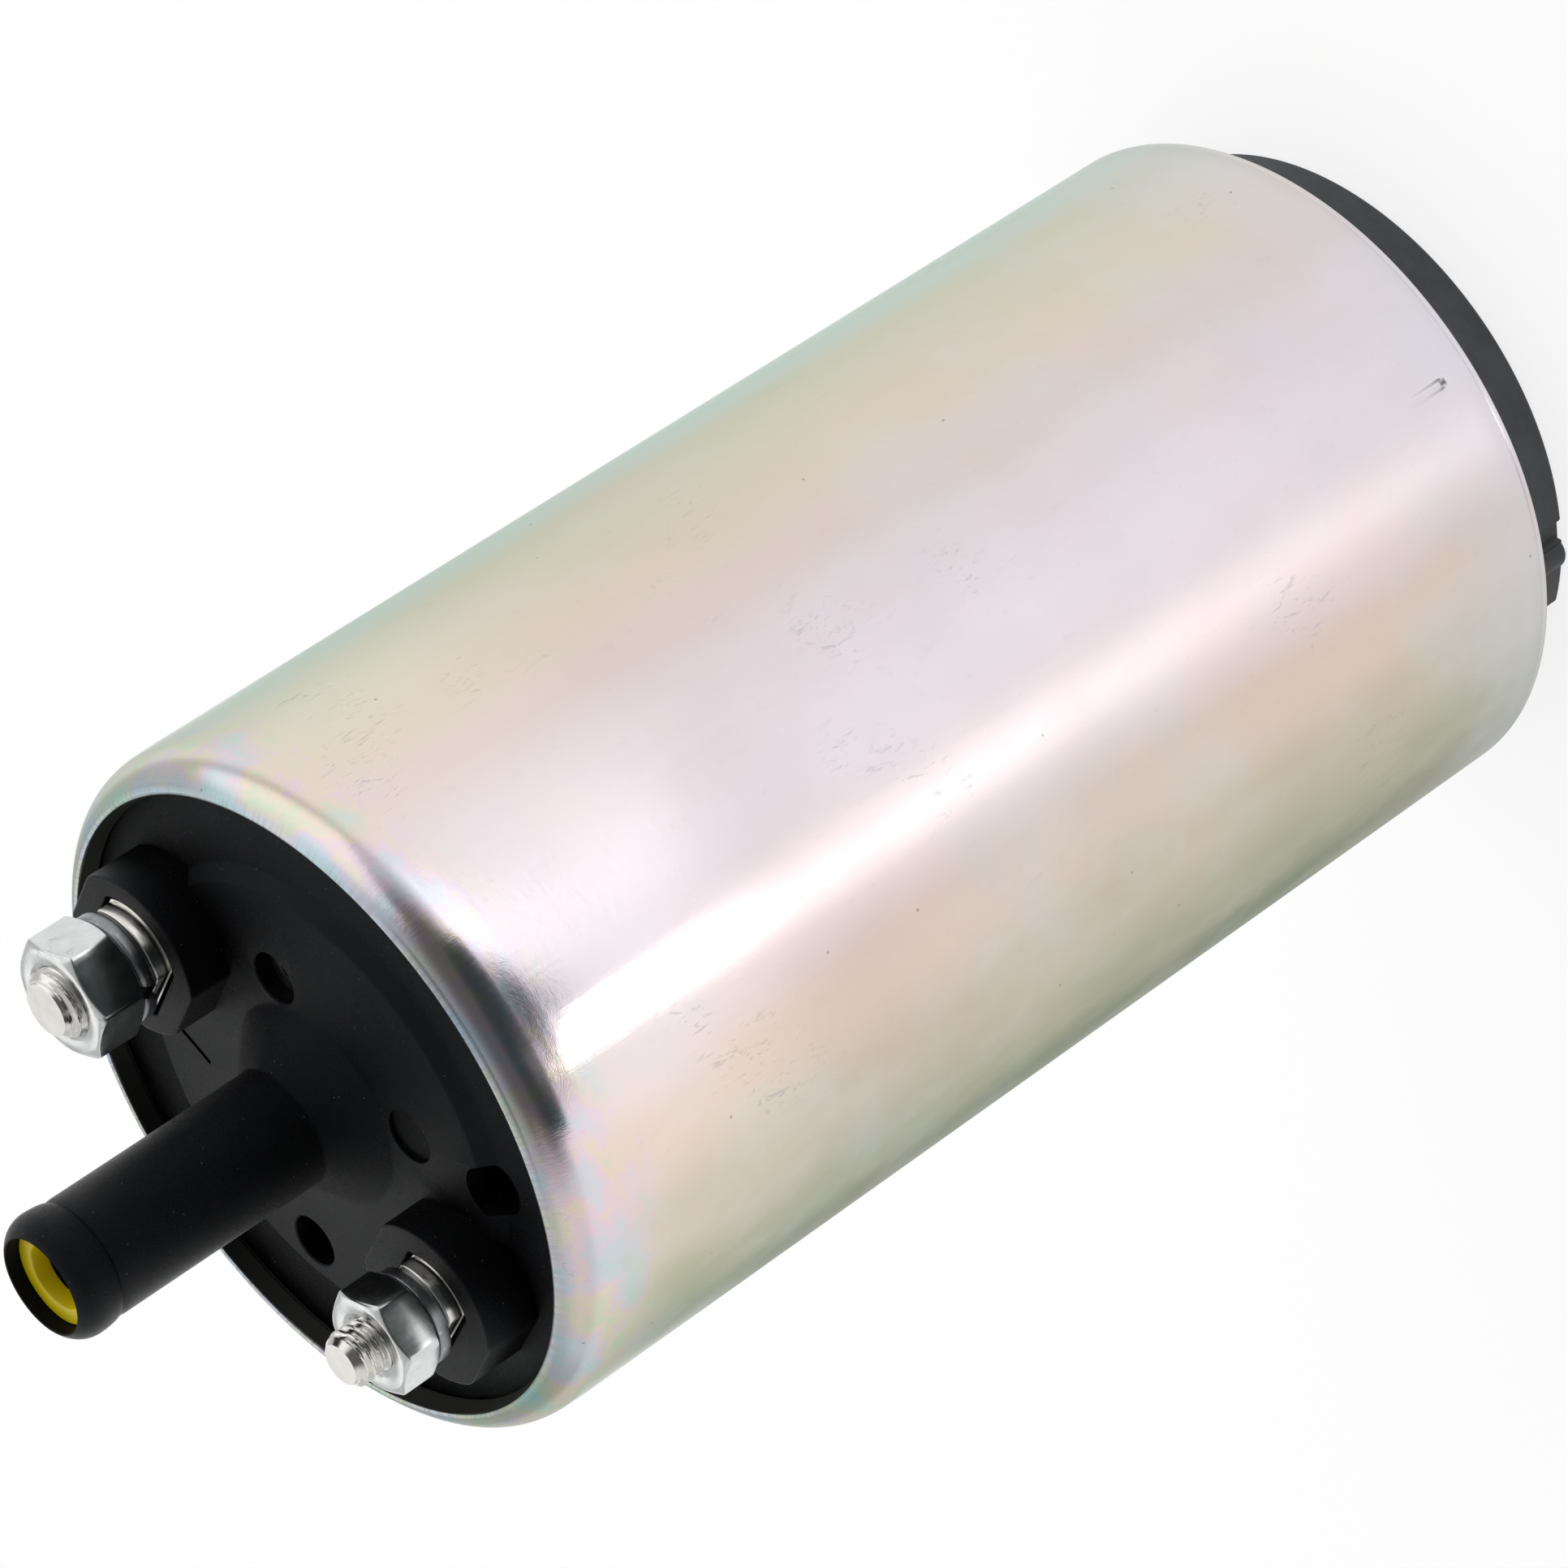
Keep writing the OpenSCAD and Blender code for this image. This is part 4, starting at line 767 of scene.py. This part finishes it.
class Surface:
    """A node material under construction, with texture coordinates in millimetres."""

    def __init__(self, name):
        self.material = bpy.data.materials.new(name)
        self.material.use_nodes = True
        self.tree = self.material.node_tree
        self.shader = self.tree.nodes["Principled BSDF"]
        coords = self.node("ShaderNodeTexCoord").outputs["Object"]
        self.mm = self.vector("SCALE", coords, scale=1 / MM)
        split = self.node("ShaderNodeSeparateXYZ")
        self.link(self.mm, split.inputs[0])
        self.x, self.y, self.z = split.outputs

    def node(self, kind, **settings):
        made = self.tree.nodes.new(kind)
        for key, value in settings.items():
            setattr(made, key, value)
        return made

    def link(self, source, target):
        self.tree.links.new(source, target)

    def feed(self, target, value):
        """Sets a socket to a number or colour, or links an output to it."""
        if isinstance(value, bpy.types.NodeSocket):
            self.link(value, target)
        elif isinstance(value, (tuple, list)) and target.type == "RGBA" and len(value) == 3:
            target.default_value = (*value, 1)
        else:
            target.default_value = value

    def math(self, operation, a, b=0.0, c=0.0):
        made = self.node("ShaderNodeMath", operation=operation)
        for target, value in zip(made.inputs, (a, b, c)):
            self.feed(target, value)
        return made.outputs[0]

    def times(self, a, b, plus=0.0):
        """a times b, plus a third value."""
        return self.math("MULTIPLY_ADD", a, b, plus)

    def vector(self, operation, a, b=None, scale=None):
        made = self.node("ShaderNodeVectorMath", operation=operation)
        self.feed(made.inputs[0], a)
        if b is not None:
            self.feed(made.inputs[1], b)
        if scale is not None:
            made.inputs["Scale"].default_value = scale
        return made.outputs["Vector"]

    def length(self, a, b):
        """Length of the diagonal over two sides."""
        return self.math("SQRT", self.times(a, a, self.times(b, b)))

    def noise(self, scale, detail=3.0, rough=0.5, stretch=(1, 1, 1), at=None, distortion=0.0):
        made = self.node("ShaderNodeTexNoise")
        place = self.vector("MULTIPLY", at or self.mm, stretch)
        self.link(place, made.inputs["Vector"])
        for key, value in (("Scale", scale), ("Detail", detail), ("Roughness", rough),
                           ("Distortion", distortion)):
            made.inputs[key].default_value = value
        return made.outputs["Fac"]

    def spots(self, scale, size):
        """1 inside scattered small spots, 0 elsewhere."""
        made = self.node("ShaderNodeTexVoronoi", feature="F1")
        self.link(self.mm, made.inputs["Vector"])
        made.inputs["Scale"].default_value = scale
        return self.between(made.outputs["Distance"], size, 0.6 * size)

    def between(self, value, low, high, to_low=0.0, to_high=1.0):
        """Maps a range smoothly and holds it at both ends."""
        made = self.node("ShaderNodeMapRange", interpolation_type="SMOOTHSTEP")
        for target, item in zip(made.inputs, (value, low, high, to_low, to_high)):
            self.feed(target, item)
        return made.outputs[0]

    def mix(self, factor, a, b, blend="MIX"):
        made = self.node("ShaderNodeMix", data_type="RGBA", blend_type=blend)
        self.feed(made.inputs["Factor"], factor)
        self.feed(made.inputs[6], a)
        self.feed(made.inputs[7], b)
        return made.outputs[2]

    def tint(self, colour, where, share, other, blend="MIX"):
        """Mixes a share of another colour in, where a mask has it."""
        return self.mix(self.times(where, share), colour, other, blend)

    def ramp(self, factor, stops):
        made = self.node("ShaderNodeValToRGB")
        made.color_ramp.interpolation = "EASE"
        elements = made.color_ramp.elements
        while len(elements) < len(stops):
            elements.new(0.5)
        for element, (place, colour) in zip(elements, stops):
            element.position = place
            element.color = (*colour, 1)
        self.feed(made.inputs[0], factor)
        return made.outputs[0]

    def bump(self, height, distance, onto=None):
        """Adds height, in millimetres times distance, to the normal."""
        made = self.node("ShaderNodeBump")
        made.inputs["Distance"].default_value = distance * MM
        self.feed(made.inputs["Height"], height)
        if onto is not None:
            self.link(onto, made.inputs["Normal"])
        return made.outputs[0]

    def set(self, **values):
        names = {"colour": "Base Color", "roughness": "Roughness", "metallic": "Metallic",
                 "normal": "Normal", "specular": "Specular IOR Level", "coat": "Coat Weight",
                 "coat_roughness": "Coat Roughness", "anisotropic": "Anisotropic",
                 "anisotropic_turn": "Anisotropic Rotation", "tangent": "Tangent",
                 "edge": "Specular Tint"}
        for key, value in values.items():
            self.feed(self.shader.inputs[names[key]], value)
        return self.material


def zinc_tints_and_painted_shade(s):
    """Lengthwise bands, partly painted shade, that drift a little, clouds, oily colours in front
    and a pale rear end.
    """
    drift = s.noise(0.035, 3.0, 0.55, (1, 1, 0.55))
    azimuth = s.math("ARCTAN2", s.y, s.x)
    turn = s.times(azimuth, 0.5 / math.pi, 0.5 - TINT_AND_PAINTED_SHADE_AZIMUTH / 360)
    turn = s.times(s.math("SUBTRACT", drift, 0.5), 0.05, turn)
    # Bands counted from the camera's azimuth, partly painted reflection and shade
    colour = s.ramp(s.math("FRACT", turn),
                    [(0.5 + degrees / 360, tint) for degrees, tint in SHELL_TINTS_AND_PAINTED_SHADE])
    veil = s.between(s.noise(0.11, 5.0, 0.6, (1, 1, 0.5)), 0.4, 0.62)
    colour = s.tint(colour, veil, 0.2, (0.88, 0.72, 0.7))
    bloom = s.noise(0.05, 5.0, 0.62, at=s.vector("ADD", s.mm, (90, 30, 10)))
    colour = s.tint(colour, s.between(bloom, 0.5, 0.72), 0.28, (0.72, 0.8, 0.86))
    oil = s.noise(0.16, 4.0, 0.62, (1, 1, 1.6))
    front = s.between(s.times(drift, 8.0, s.z), *OILY_Z)
    colour = s.tint(colour, front, 0.62, s.ramp(oil, OIL_TINTS))
    rear = s.between(s.times(oil, 8.0, s.z), *PALE_Z)
    return s.tint(colour, rear, 0.5, (0.8, 0.81, 0.88))


def zinc_marks(s, colour):
    """Grime, specks, and scuffs in a few places."""
    grime = s.between(s.noise(0.9, 6.0, 0.7), 0.56, 0.75)
    colour = s.tint(colour, grime, 0.1, (0.45, 0.43, 0.4))
    colour = s.tint(colour, s.spots(0.24, 0.035), 0.6, (0.3, 0.27, 0.24))
    place = s.noise(0.07, 2.0, 0.5, at=s.vector("ADD", s.mm, (40, 0, 60)))
    lines = s.noise(2.2, 3.0, 0.7, (1, 1, 0.3), distortion=1.0)
    scuffs = s.times(s.between(place, 0.6, 0.68), s.between(lines, 0.56, 0.66))
    return s.tint(colour, scuffs, 0.35, (0.36, 0.38, 0.42))


def zinc_edge(s, colour, radial, rolled, streaks):
    """A bluish inner side of the rolled edge, and worn streaks on its lip."""
    inner = s.times(s.between(radial, *BLUISH_R), rolled)
    colour = s.tint(colour, inner, 0.85, (0.68, 0.84, 0.86), "MULTIPLY")
    lip = s.times(s.between(radial, *WORN_R), rolled)
    worn = s.between(streaks, 0.42, 0.62, 0.0, 0.75)
    return s.tint(colour, lip, worn, (0.3, 0.3, 0.28))


def zinc_roughness(s, radial, rolled, streaks, fine):
    """Satin along the wall, glossier towards the front, and burnished on the rolled edge."""
    cloud = s.noise(0.08, 4.0, 0.6)
    satin = s.times(cloud, 0.12, s.times(fine, 0.06, 0.29))
    satin = s.math("SUBTRACT", satin, s.between(s.z, *GLOSSY_Z, 0.0, 0.26))
    satin = s.math("MAXIMUM", satin, 0.07)
    burnished = s.times(streaks, 0.12, s.between(radial, *BURNISHED_R, 0.13, 0.3))
    return s.times(rolled, s.math("SUBTRACT", burnished, satin), satin)


def zinc_relief(s, rolled, streaks, fine):
    """Fine lengthwise lines, faint unevenness, streaks on the rolled edge and grain near it."""
    normal = s.bump(fine, 0.003)
    normal = s.bump(s.noise(1.6, 4.0, 0.65), 0.006, onto=normal)
    normal = s.bump(s.times(streaks, rolled), 0.004, onto=normal)
    grain = s.times(s.noise(13.0, 2.0, 0.5), s.between(s.z, *GRAINY_Z))
    return s.bump(grain, 0.004, onto=normal)


def zinc_shell():
    """Passivated zinc: satin steel with lengthwise bands of lilac, straw and olive, partly painted
    shade, a painted dark reflection on the sheared edge, and marks.
    """
    s = Surface("zinc_shell")
    radial = s.length(s.x, s.y)
    rolled = s.between(s.z, *ROLLED_Z)
    around = s.vector("NORMALIZE", s.vector("MULTIPLY", s.mm, (1, 1, 0)))
    streaks = s.noise(3.2 * BODY_R, 3.0, 0.7, at=around)
    fine = s.noise(2.6, 5.0, 0.7, (1, 1, 0.02))
    sheared = s.times(s.between(radial, *SHEARED_PAINTED_DARK_R), s.between(s.z, *SHEARED_PAINTED_DARK_Z))
    colour = zinc_edge(s, zinc_marks(s, zinc_tints_and_painted_shade(s)), radial, rolled, streaks)
    # The sheared end is painted near black, a painted dark reflection, and made rougher
    colour = s.mix(sheared, colour, (0.035, 0.035, 0.033))
    roughness = s.math("MAXIMUM", zinc_roughness(s, radial, rolled, streaks, fine),
                       s.times(sheared, 0.6))
    tangent = s.node("ShaderNodeTangent", direction_type="RADIAL", axis="Z").outputs[0]
    return s.set(colour=colour, metallic=1.0, roughness=roughness,
                 normal=zinc_relief(s, rolled, streaks, fine), anisotropic=0.85,
                 anisotropic_turn=0.25, tangent=tangent, edge=(0.62, 0.66, 0.6))


def black_plastic():
    """Glass-filled nylon: near black, fine grain, dusty specks and pale rubbed places."""
    s = Surface("black_plastic")
    grain = s.noise(9.0, 6.0, 0.7)
    patch = s.noise(0.35, 4.0, 0.6)
    colour = s.mix(s.between(patch, 0.35, 0.75), (0.001, 0.001, 0.0014), (0.003, 0.003, 0.004))
    colour = s.tint(colour, s.spots(1.1, 0.07), 0.35, (0.25, 0.25, 0.25))
    scuff = s.between(s.noise(0.9, 8.0, 0.75, (1, 0.25, 1)), 0.62, 0.78)
    colour = s.tint(colour, scuff, 0.1, (0.3, 0.3, 0.3))
    roughness = s.times(patch, 0.16, s.times(grain, 0.1, 0.13))
    from_stud = s.length(s.math("SUBTRACT", s.math("ABSOLUTE", s.x), STUD_X), s.y)
    rings = s.math("SINE", s.times(from_stud, 2 * math.pi / 0.22))
    on_boss = s.between(s.z, Z_BOSS - 0.06, Z_BOSS - 0.02)
    off_pipe = s.between(from_stud, 6.6, 6.2)
    turned = s.times(rings, s.times(on_boss, off_pipe))
    normal = s.bump(turned, 0.006, onto=s.bump(grain, 0.07))
    return s.set(colour=colour, roughness=roughness, normal=normal, specular=0.15,
                 edge=(0.84, 0.92, 1.0))


def moulded(name, colour, roughness, grain, depth, spread=0.25):
    """Plain moulded plastic or resin with grain and a faint unevenness."""
    s = Surface(name)
    fine = s.noise(grain, 5.0, 0.65)
    patch = s.noise(0.4, 4.0, 0.6)
    dark = tuple(c * (1 - spread) for c in colour)
    light = tuple(min(1.0, c * (1 + spread)) for c in colour)
    made = s.mix(s.between(patch, 0.3, 0.7), dark, light)
    rough = s.times(patch, 0.16, s.times(fine, 0.08, roughness - 0.12))
    return s.set(colour=made, roughness=rough, normal=s.bump(fine, depth))


def metal(name, colour, roughness, grain, stretch=(1, 1, 1), depth=0.004, spread=0.12, stain=None):
    """Bare or plated metal with grain along a direction, uneven gloss and faint stains."""
    s = Surface(name)
    fine = s.noise(grain, 6.0, 0.7, stretch)
    patch = s.noise(0.6, 5.0, 0.6)
    dark = tuple(c * (1 - spread) for c in colour)
    made = s.mix(s.between(patch, 0.3, 0.7), dark, colour)
    if stain:
        made = s.mix(s.between(s.noise(1.3, 6.0, 0.7), 0.55, 0.72), made, stain)
    rough = s.times(patch, 0.2, s.times(fine, 0.12, roughness - 0.16))
    return s.set(colour=made, metallic=1.0, roughness=rough, normal=s.bump(fine, depth))


def laminations():
    """Stacked steel sheets, seen as fine lines along the axis."""
    s = Surface("lamination_steel")
    lines = s.math("SINE", s.times(s.z, 2 * math.pi / 0.5))
    colour = s.mix(s.between(lines, -0.9, 0.2), (0.22, 0.22, 0.23), (0.45, 0.46, 0.47))
    patch = s.noise(0.5, 4.0, 0.6)
    rough = s.times(patch, 0.2, 0.3)
    return s.set(colour=colour, metallic=1.0, roughness=rough, normal=s.bump(lines, 0.03))


def wound_wire():
    """Enamelled wire laid side by side."""
    s = Surface("enamelled_copper")
    place = s.math("ADD", s.length(s.x, s.y), s.z)
    strands = s.math("SINE", s.times(place, 2 * math.pi / 0.55))
    colour = s.mix(s.between(strands, -1.0, 0.4), (0.16, 0.05, 0.02), (0.58, 0.22, 0.08))
    return s.set(colour=colour, metallic=0.8, roughness=0.3, normal=s.bump(strands, 0.08),
                 coat=0.6, coat_roughness=0.15)


def make_materials():
    """Every material by its name, which is also the record's slot for it."""
    materials = {"zinc_shell": zinc_shell(), "black_plastic": black_plastic(),
                 "lamination_steel": laminations(), "enamelled_copper": wound_wire()}
    materials.update((name, moulded(name, *look)) for name, look in MOULDED.items())
    materials.update((name, metal(name, *look)) for name, look in METALS.items())
    return materials


def paint(obj, material):
    obj.data.materials.clear()
    obj.data.materials.append(material)


def add_piece(obj, slot, body, nodes, materials):
    """Paints a piece, ties it to its body and lets it stand for its nodes."""
    paint(obj, materials[slot])
    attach(obj, body)
    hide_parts(*nodes)


# Springs, leads and coils

def make_tube(name, path, r):
    """Sweeps a round wire along a path of points."""
    sides = 12
    points = []
    for i, p in enumerate(path):
        along = (path[min(i + 1, len(path) - 1)] - path[max(i - 1, 0)]).normalized()
        side = along.cross(Vector((0, 0, 1))).normalized()
        up = along.cross(side)
        for k in range(sides):
            a = 2 * math.pi * k / sides
            points.append(p + r * (math.cos(a) * side + math.sin(a) * up))
    return mesh_object(name, points, skin(len(path), sides), 50)


def shorten(piece):
    """Gives a piece its own copy of its mesh."""
    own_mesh(piece)


def make_springs(slots, materials):
    for node, joint, wire, turns, fixed, travel in SPRINGS:
        low, high = (Vector(corner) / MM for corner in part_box(node))
        middle = (low + high) / 2
        r = (high.x - low.x - wire) / 2
        path = []
        count = turns * PER_TURN
        for i in range(count + 1):
            a = 2 * math.pi * i / PER_TURN
            rise = (high.z - low.z - wire) * i / count
            path.append(Vector((middle.x + r * math.cos(a), middle.y + r * math.sin(a),
                                low.z + wire / 2 + rise)))
        piece = make_tube(node + "_wire", path, wire / 2)
        add_piece(piece, slots[node], "pump", [node], materials)
        shorten(piece)


def make_leads(slots, materials):
    steps = 24
    low, high = LEAD_Z
    out, control, end = Vector(LEAD_OUT), Vector(LEAD_CONTROL), Vector(LEAD_END)
    for side, letter in ((1, "a"), (-1, "b")):
        path = [Vector((side * LEAD_START[0], side * LEAD_START[1], low))]
        for i in range(steps + 1):
            t = i / steps
            p = (1 - t) ** 2 * out + 2 * t * (1 - t) * control + t * t * end
            rise = (1 - math.cos(math.pi * t)) / 2
            path.append(Vector((side * p.x, side * p.y, low + (high - low) * rise)))
        node = "brush_lead_" + letter
        piece = make_tube(node + "_wire", path, LEAD_R)
        add_piece(piece, slots[node], "pump", [node], materials)
        shorten(piece)


def make_coils(slots, materials):
    count = COIL_TURNS * PER_TURN
    for side, letter in ((1, "a"), (-1, "b")):
        path = []
        for i in range(count + 1):
            a = 2 * math.pi * i / PER_TURN
            path.append((COIL_R * math.sin(a), COIL_HALF * (2 * i / count - 1),
                         COIL_R * math.cos(a)))
        path += [(0, y, COIL_R) for y in (COIL_HALF + COIL_WIRE, COIL_TAIL - COIL_WIRE, COIL_TAIL)]
        points = [Vector((side * (CHOKE_AT[0] + x), side * y, CHOKE_AT[1] + z)) for x, y, z in path]
        node = "choke_coil_" + letter
        piece = make_tube(node + "_wire", points, COIL_WIRE / 2)
        add_piece(piece, slots[node], "pump", [node], materials)


# Floor, lights and camera

def make_floor():
    """A white floor that keeps part of the pump's shadow for the camera and in reflections."""
    corners = [(FLOOR_HALF * x, FLOOR_HALF * y, 0) for x, y in ((-1, -1), (1, -1), (1, 1), (-1, 1))]
    mesh = bpy.data.meshes.new("floor")
    mesh.from_pydata(corners, [], [(0, 1, 2, 3)])
    floor = add_object("floor", mesh)
    floor.location.z = -FLOOR_DROP
    s = Surface("floor")
    dust = s.noise(0.01, 3.0, 0.5)
    s.set(colour=s.mix(dust, (0.92, 0.92, 0.92), (0.95, 0.95, 0.95)), roughness=0.9, specular=0.1)
    rays = s.node("ShaderNodeLightPath")
    seen = s.math("MAXIMUM", rays.outputs["Is Camera Ray"],
                  s.math("MAXIMUM", rays.outputs["Is Glossy Ray"],
                         rays.outputs["Is Transmission Ray"]))
    white = s.node("ShaderNodeEmission")
    white.inputs["Strength"].default_value = FLOOR_WHITE
    blend = s.node("ShaderNodeMixShader")
    s.feed(blend.inputs[0], s.times(seen, FLOOR_SHARE))
    s.link(s.shader.outputs[0], blend.inputs[1])
    s.link(white.outputs[0], blend.inputs[2])
    s.link(blend.outputs[0], s.tree.nodes["Material Output"].inputs["Surface"])
    paint(floor, s.material)


def make_world():
    """A grey studio round the floor, darker on one side as behind a camera."""
    world = bpy.data.worlds.new("studio")
    bpy.context.scene.world = world
    world.use_nodes = True
    tree = world.node_tree
    background = tree.nodes["Background"]
    background.inputs["Color"].default_value = (1, 1, 1, 1)
    coords = tree.nodes.new("ShaderNodeTexCoord")
    dot = tree.nodes.new("ShaderNodeVectorMath")
    dot.operation = "DOT_PRODUCT"
    dot.inputs[1].default_value = direction(*DARK_SIDE)
    level = tree.nodes.new("ShaderNodeMapRange")
    level.interpolation_type = "SMOOTHSTEP"
    tree.links.new(coords.outputs["Generated"], dot.inputs[0])
    tree.links.new(dot.outputs["Value"], level.inputs["Value"])
    for socket, value in (("From Min", math.cos(math.radians(DARK_REACH[0]))),
                          ("From Max", math.cos(math.radians(DARK_REACH[1]))),
                          ("To Min", DARK_LEVEL), ("To Max", WORLD_LEVEL)):
        level.inputs[socket].default_value = value
    tree.links.new(level.outputs[0], background.inputs["Strength"])


def make_card():
    """A dark card that gives the rolled edge its dark reflection."""
    count = 24
    points, faces = [], []
    for i in range(count + 1):
        a = math.radians(CARD_SIDES[0] + (CARD_SIDES[1] - CARD_SIDES[0]) * i / count)
        x, y = CARD_AT * math.cos(a), CARD_AT * math.sin(a)
        narrow = CARD_TAPER * (2 * i / count - 1) ** 2
        points += [(x, y, CARD_Z[0] + narrow), (x, y, CARD_Z[1] - narrow)]
    for i in range(count):
        faces.append((2 * i, 2 * i + 2, 2 * i + 3, 2 * i + 1))
    mesh = bpy.data.meshes.new("card")
    mesh.from_pydata(points, [], faces)
    card = add_object("card", mesh)
    s = Surface("card")
    weave = s.noise(0.8, 4.0, 0.6)
    s.set(colour=s.mix(weave, (0.03, 0.05, 0.048), (0.05, 0.075, 0.07)), roughness=0.9,
          specular=0.0)
    paint(card, s.material)
    card.visible_camera = False
    card.visible_diffuse = False
    card.visible_shadow = False


def direction(azimuth, elevation):
    """Unit vector towards an azimuth and an elevation in degrees."""
    a, e = math.radians(azimuth), math.radians(elevation)
    return Vector((math.cos(e) * math.cos(a), math.cos(e) * math.sin(a), math.sin(e)))


def softbox(name, azimuth, elevation, distance, width, height, level, aim, spread):
    """A soft area light aimed at a height on the pump's axis."""
    towards = direction(azimuth, elevation)
    light = bpy.data.lights.new(name, "AREA")
    light.shape = "RECTANGLE"
    light.size = width
    light.size_y = height
    light.energy = level * math.pi ** 2 * distance ** 2
    light.spread = math.radians(spread)
    lamp = add_object(name, light)
    lamp.location = Vector((0, 0, aim)) + towards * distance
    lamp.rotation_euler = towards.to_track_quat("Z", "Y").to_euler()
    lamp.visible_camera = False


def make_camera():
    data = bpy.data.cameras.new("camera")
    data.sensor_fit = "HORIZONTAL"
    data.sensor_width = CAMERA_SENSOR
    data.lens = CAMERA_LENS
    data.clip_start, data.clip_end = CAMERA_CLIP
    camera = add_object("camera", data)
    right, up = Vector(CAMERA_RIGHT).normalized(), Vector(CAMERA_UP).normalized()
    back = right.cross(up).normalized()
    up = back.cross(right)
    turn = Matrix((right, up, back)).transposed()
    camera.matrix_world = Matrix.Translation(Vector(CAMERA_AT) * MM) @ turn.to_4x4()
    bpy.context.scene.camera = camera


def main():
    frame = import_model()
    bpy.context.scene.view_settings.view_transform = "Standard"
    make_camera()
    make_floor()
    make_world()
    make_card()
    for lamp in LAMPS:
        softbox(*lamp)

    materials = make_materials()
    slots = {item["node"]: item["material_slot"] for item in frame["record"]["subparts"]}
    for node, obj in frame["nodes"].items():
        paint(obj, materials[slots[node]])

    for make, slot, node in ((make_shell, "zinc_shell", "housing"),
                             (make_cover, "black_plastic", "outlet_cover"),
                             (make_foot, "grey_plastic", "inlet_cover"),
                             (make_retainer, "yellow_plastic", "check_valve_retainer")):
        add_piece(make(), slot, "pump", [node], materials)
    for size, t in (("large", LARGE), ("small", SMALL)):
        for make, slot, kind in ((make_stud, "stud_nickel", "stud_"),
                                 (make_washer, "washer_zinc", "washer_"),
                                 (make_nut, "nut_zinc", "nut_")):
            add_piece(make(kind + size, t), slot, "pump", ["terminal_" + kind + size], materials)

    make_springs(slots, materials)
    make_leads(slots, materials)
    make_coils(slots, materials)


main()
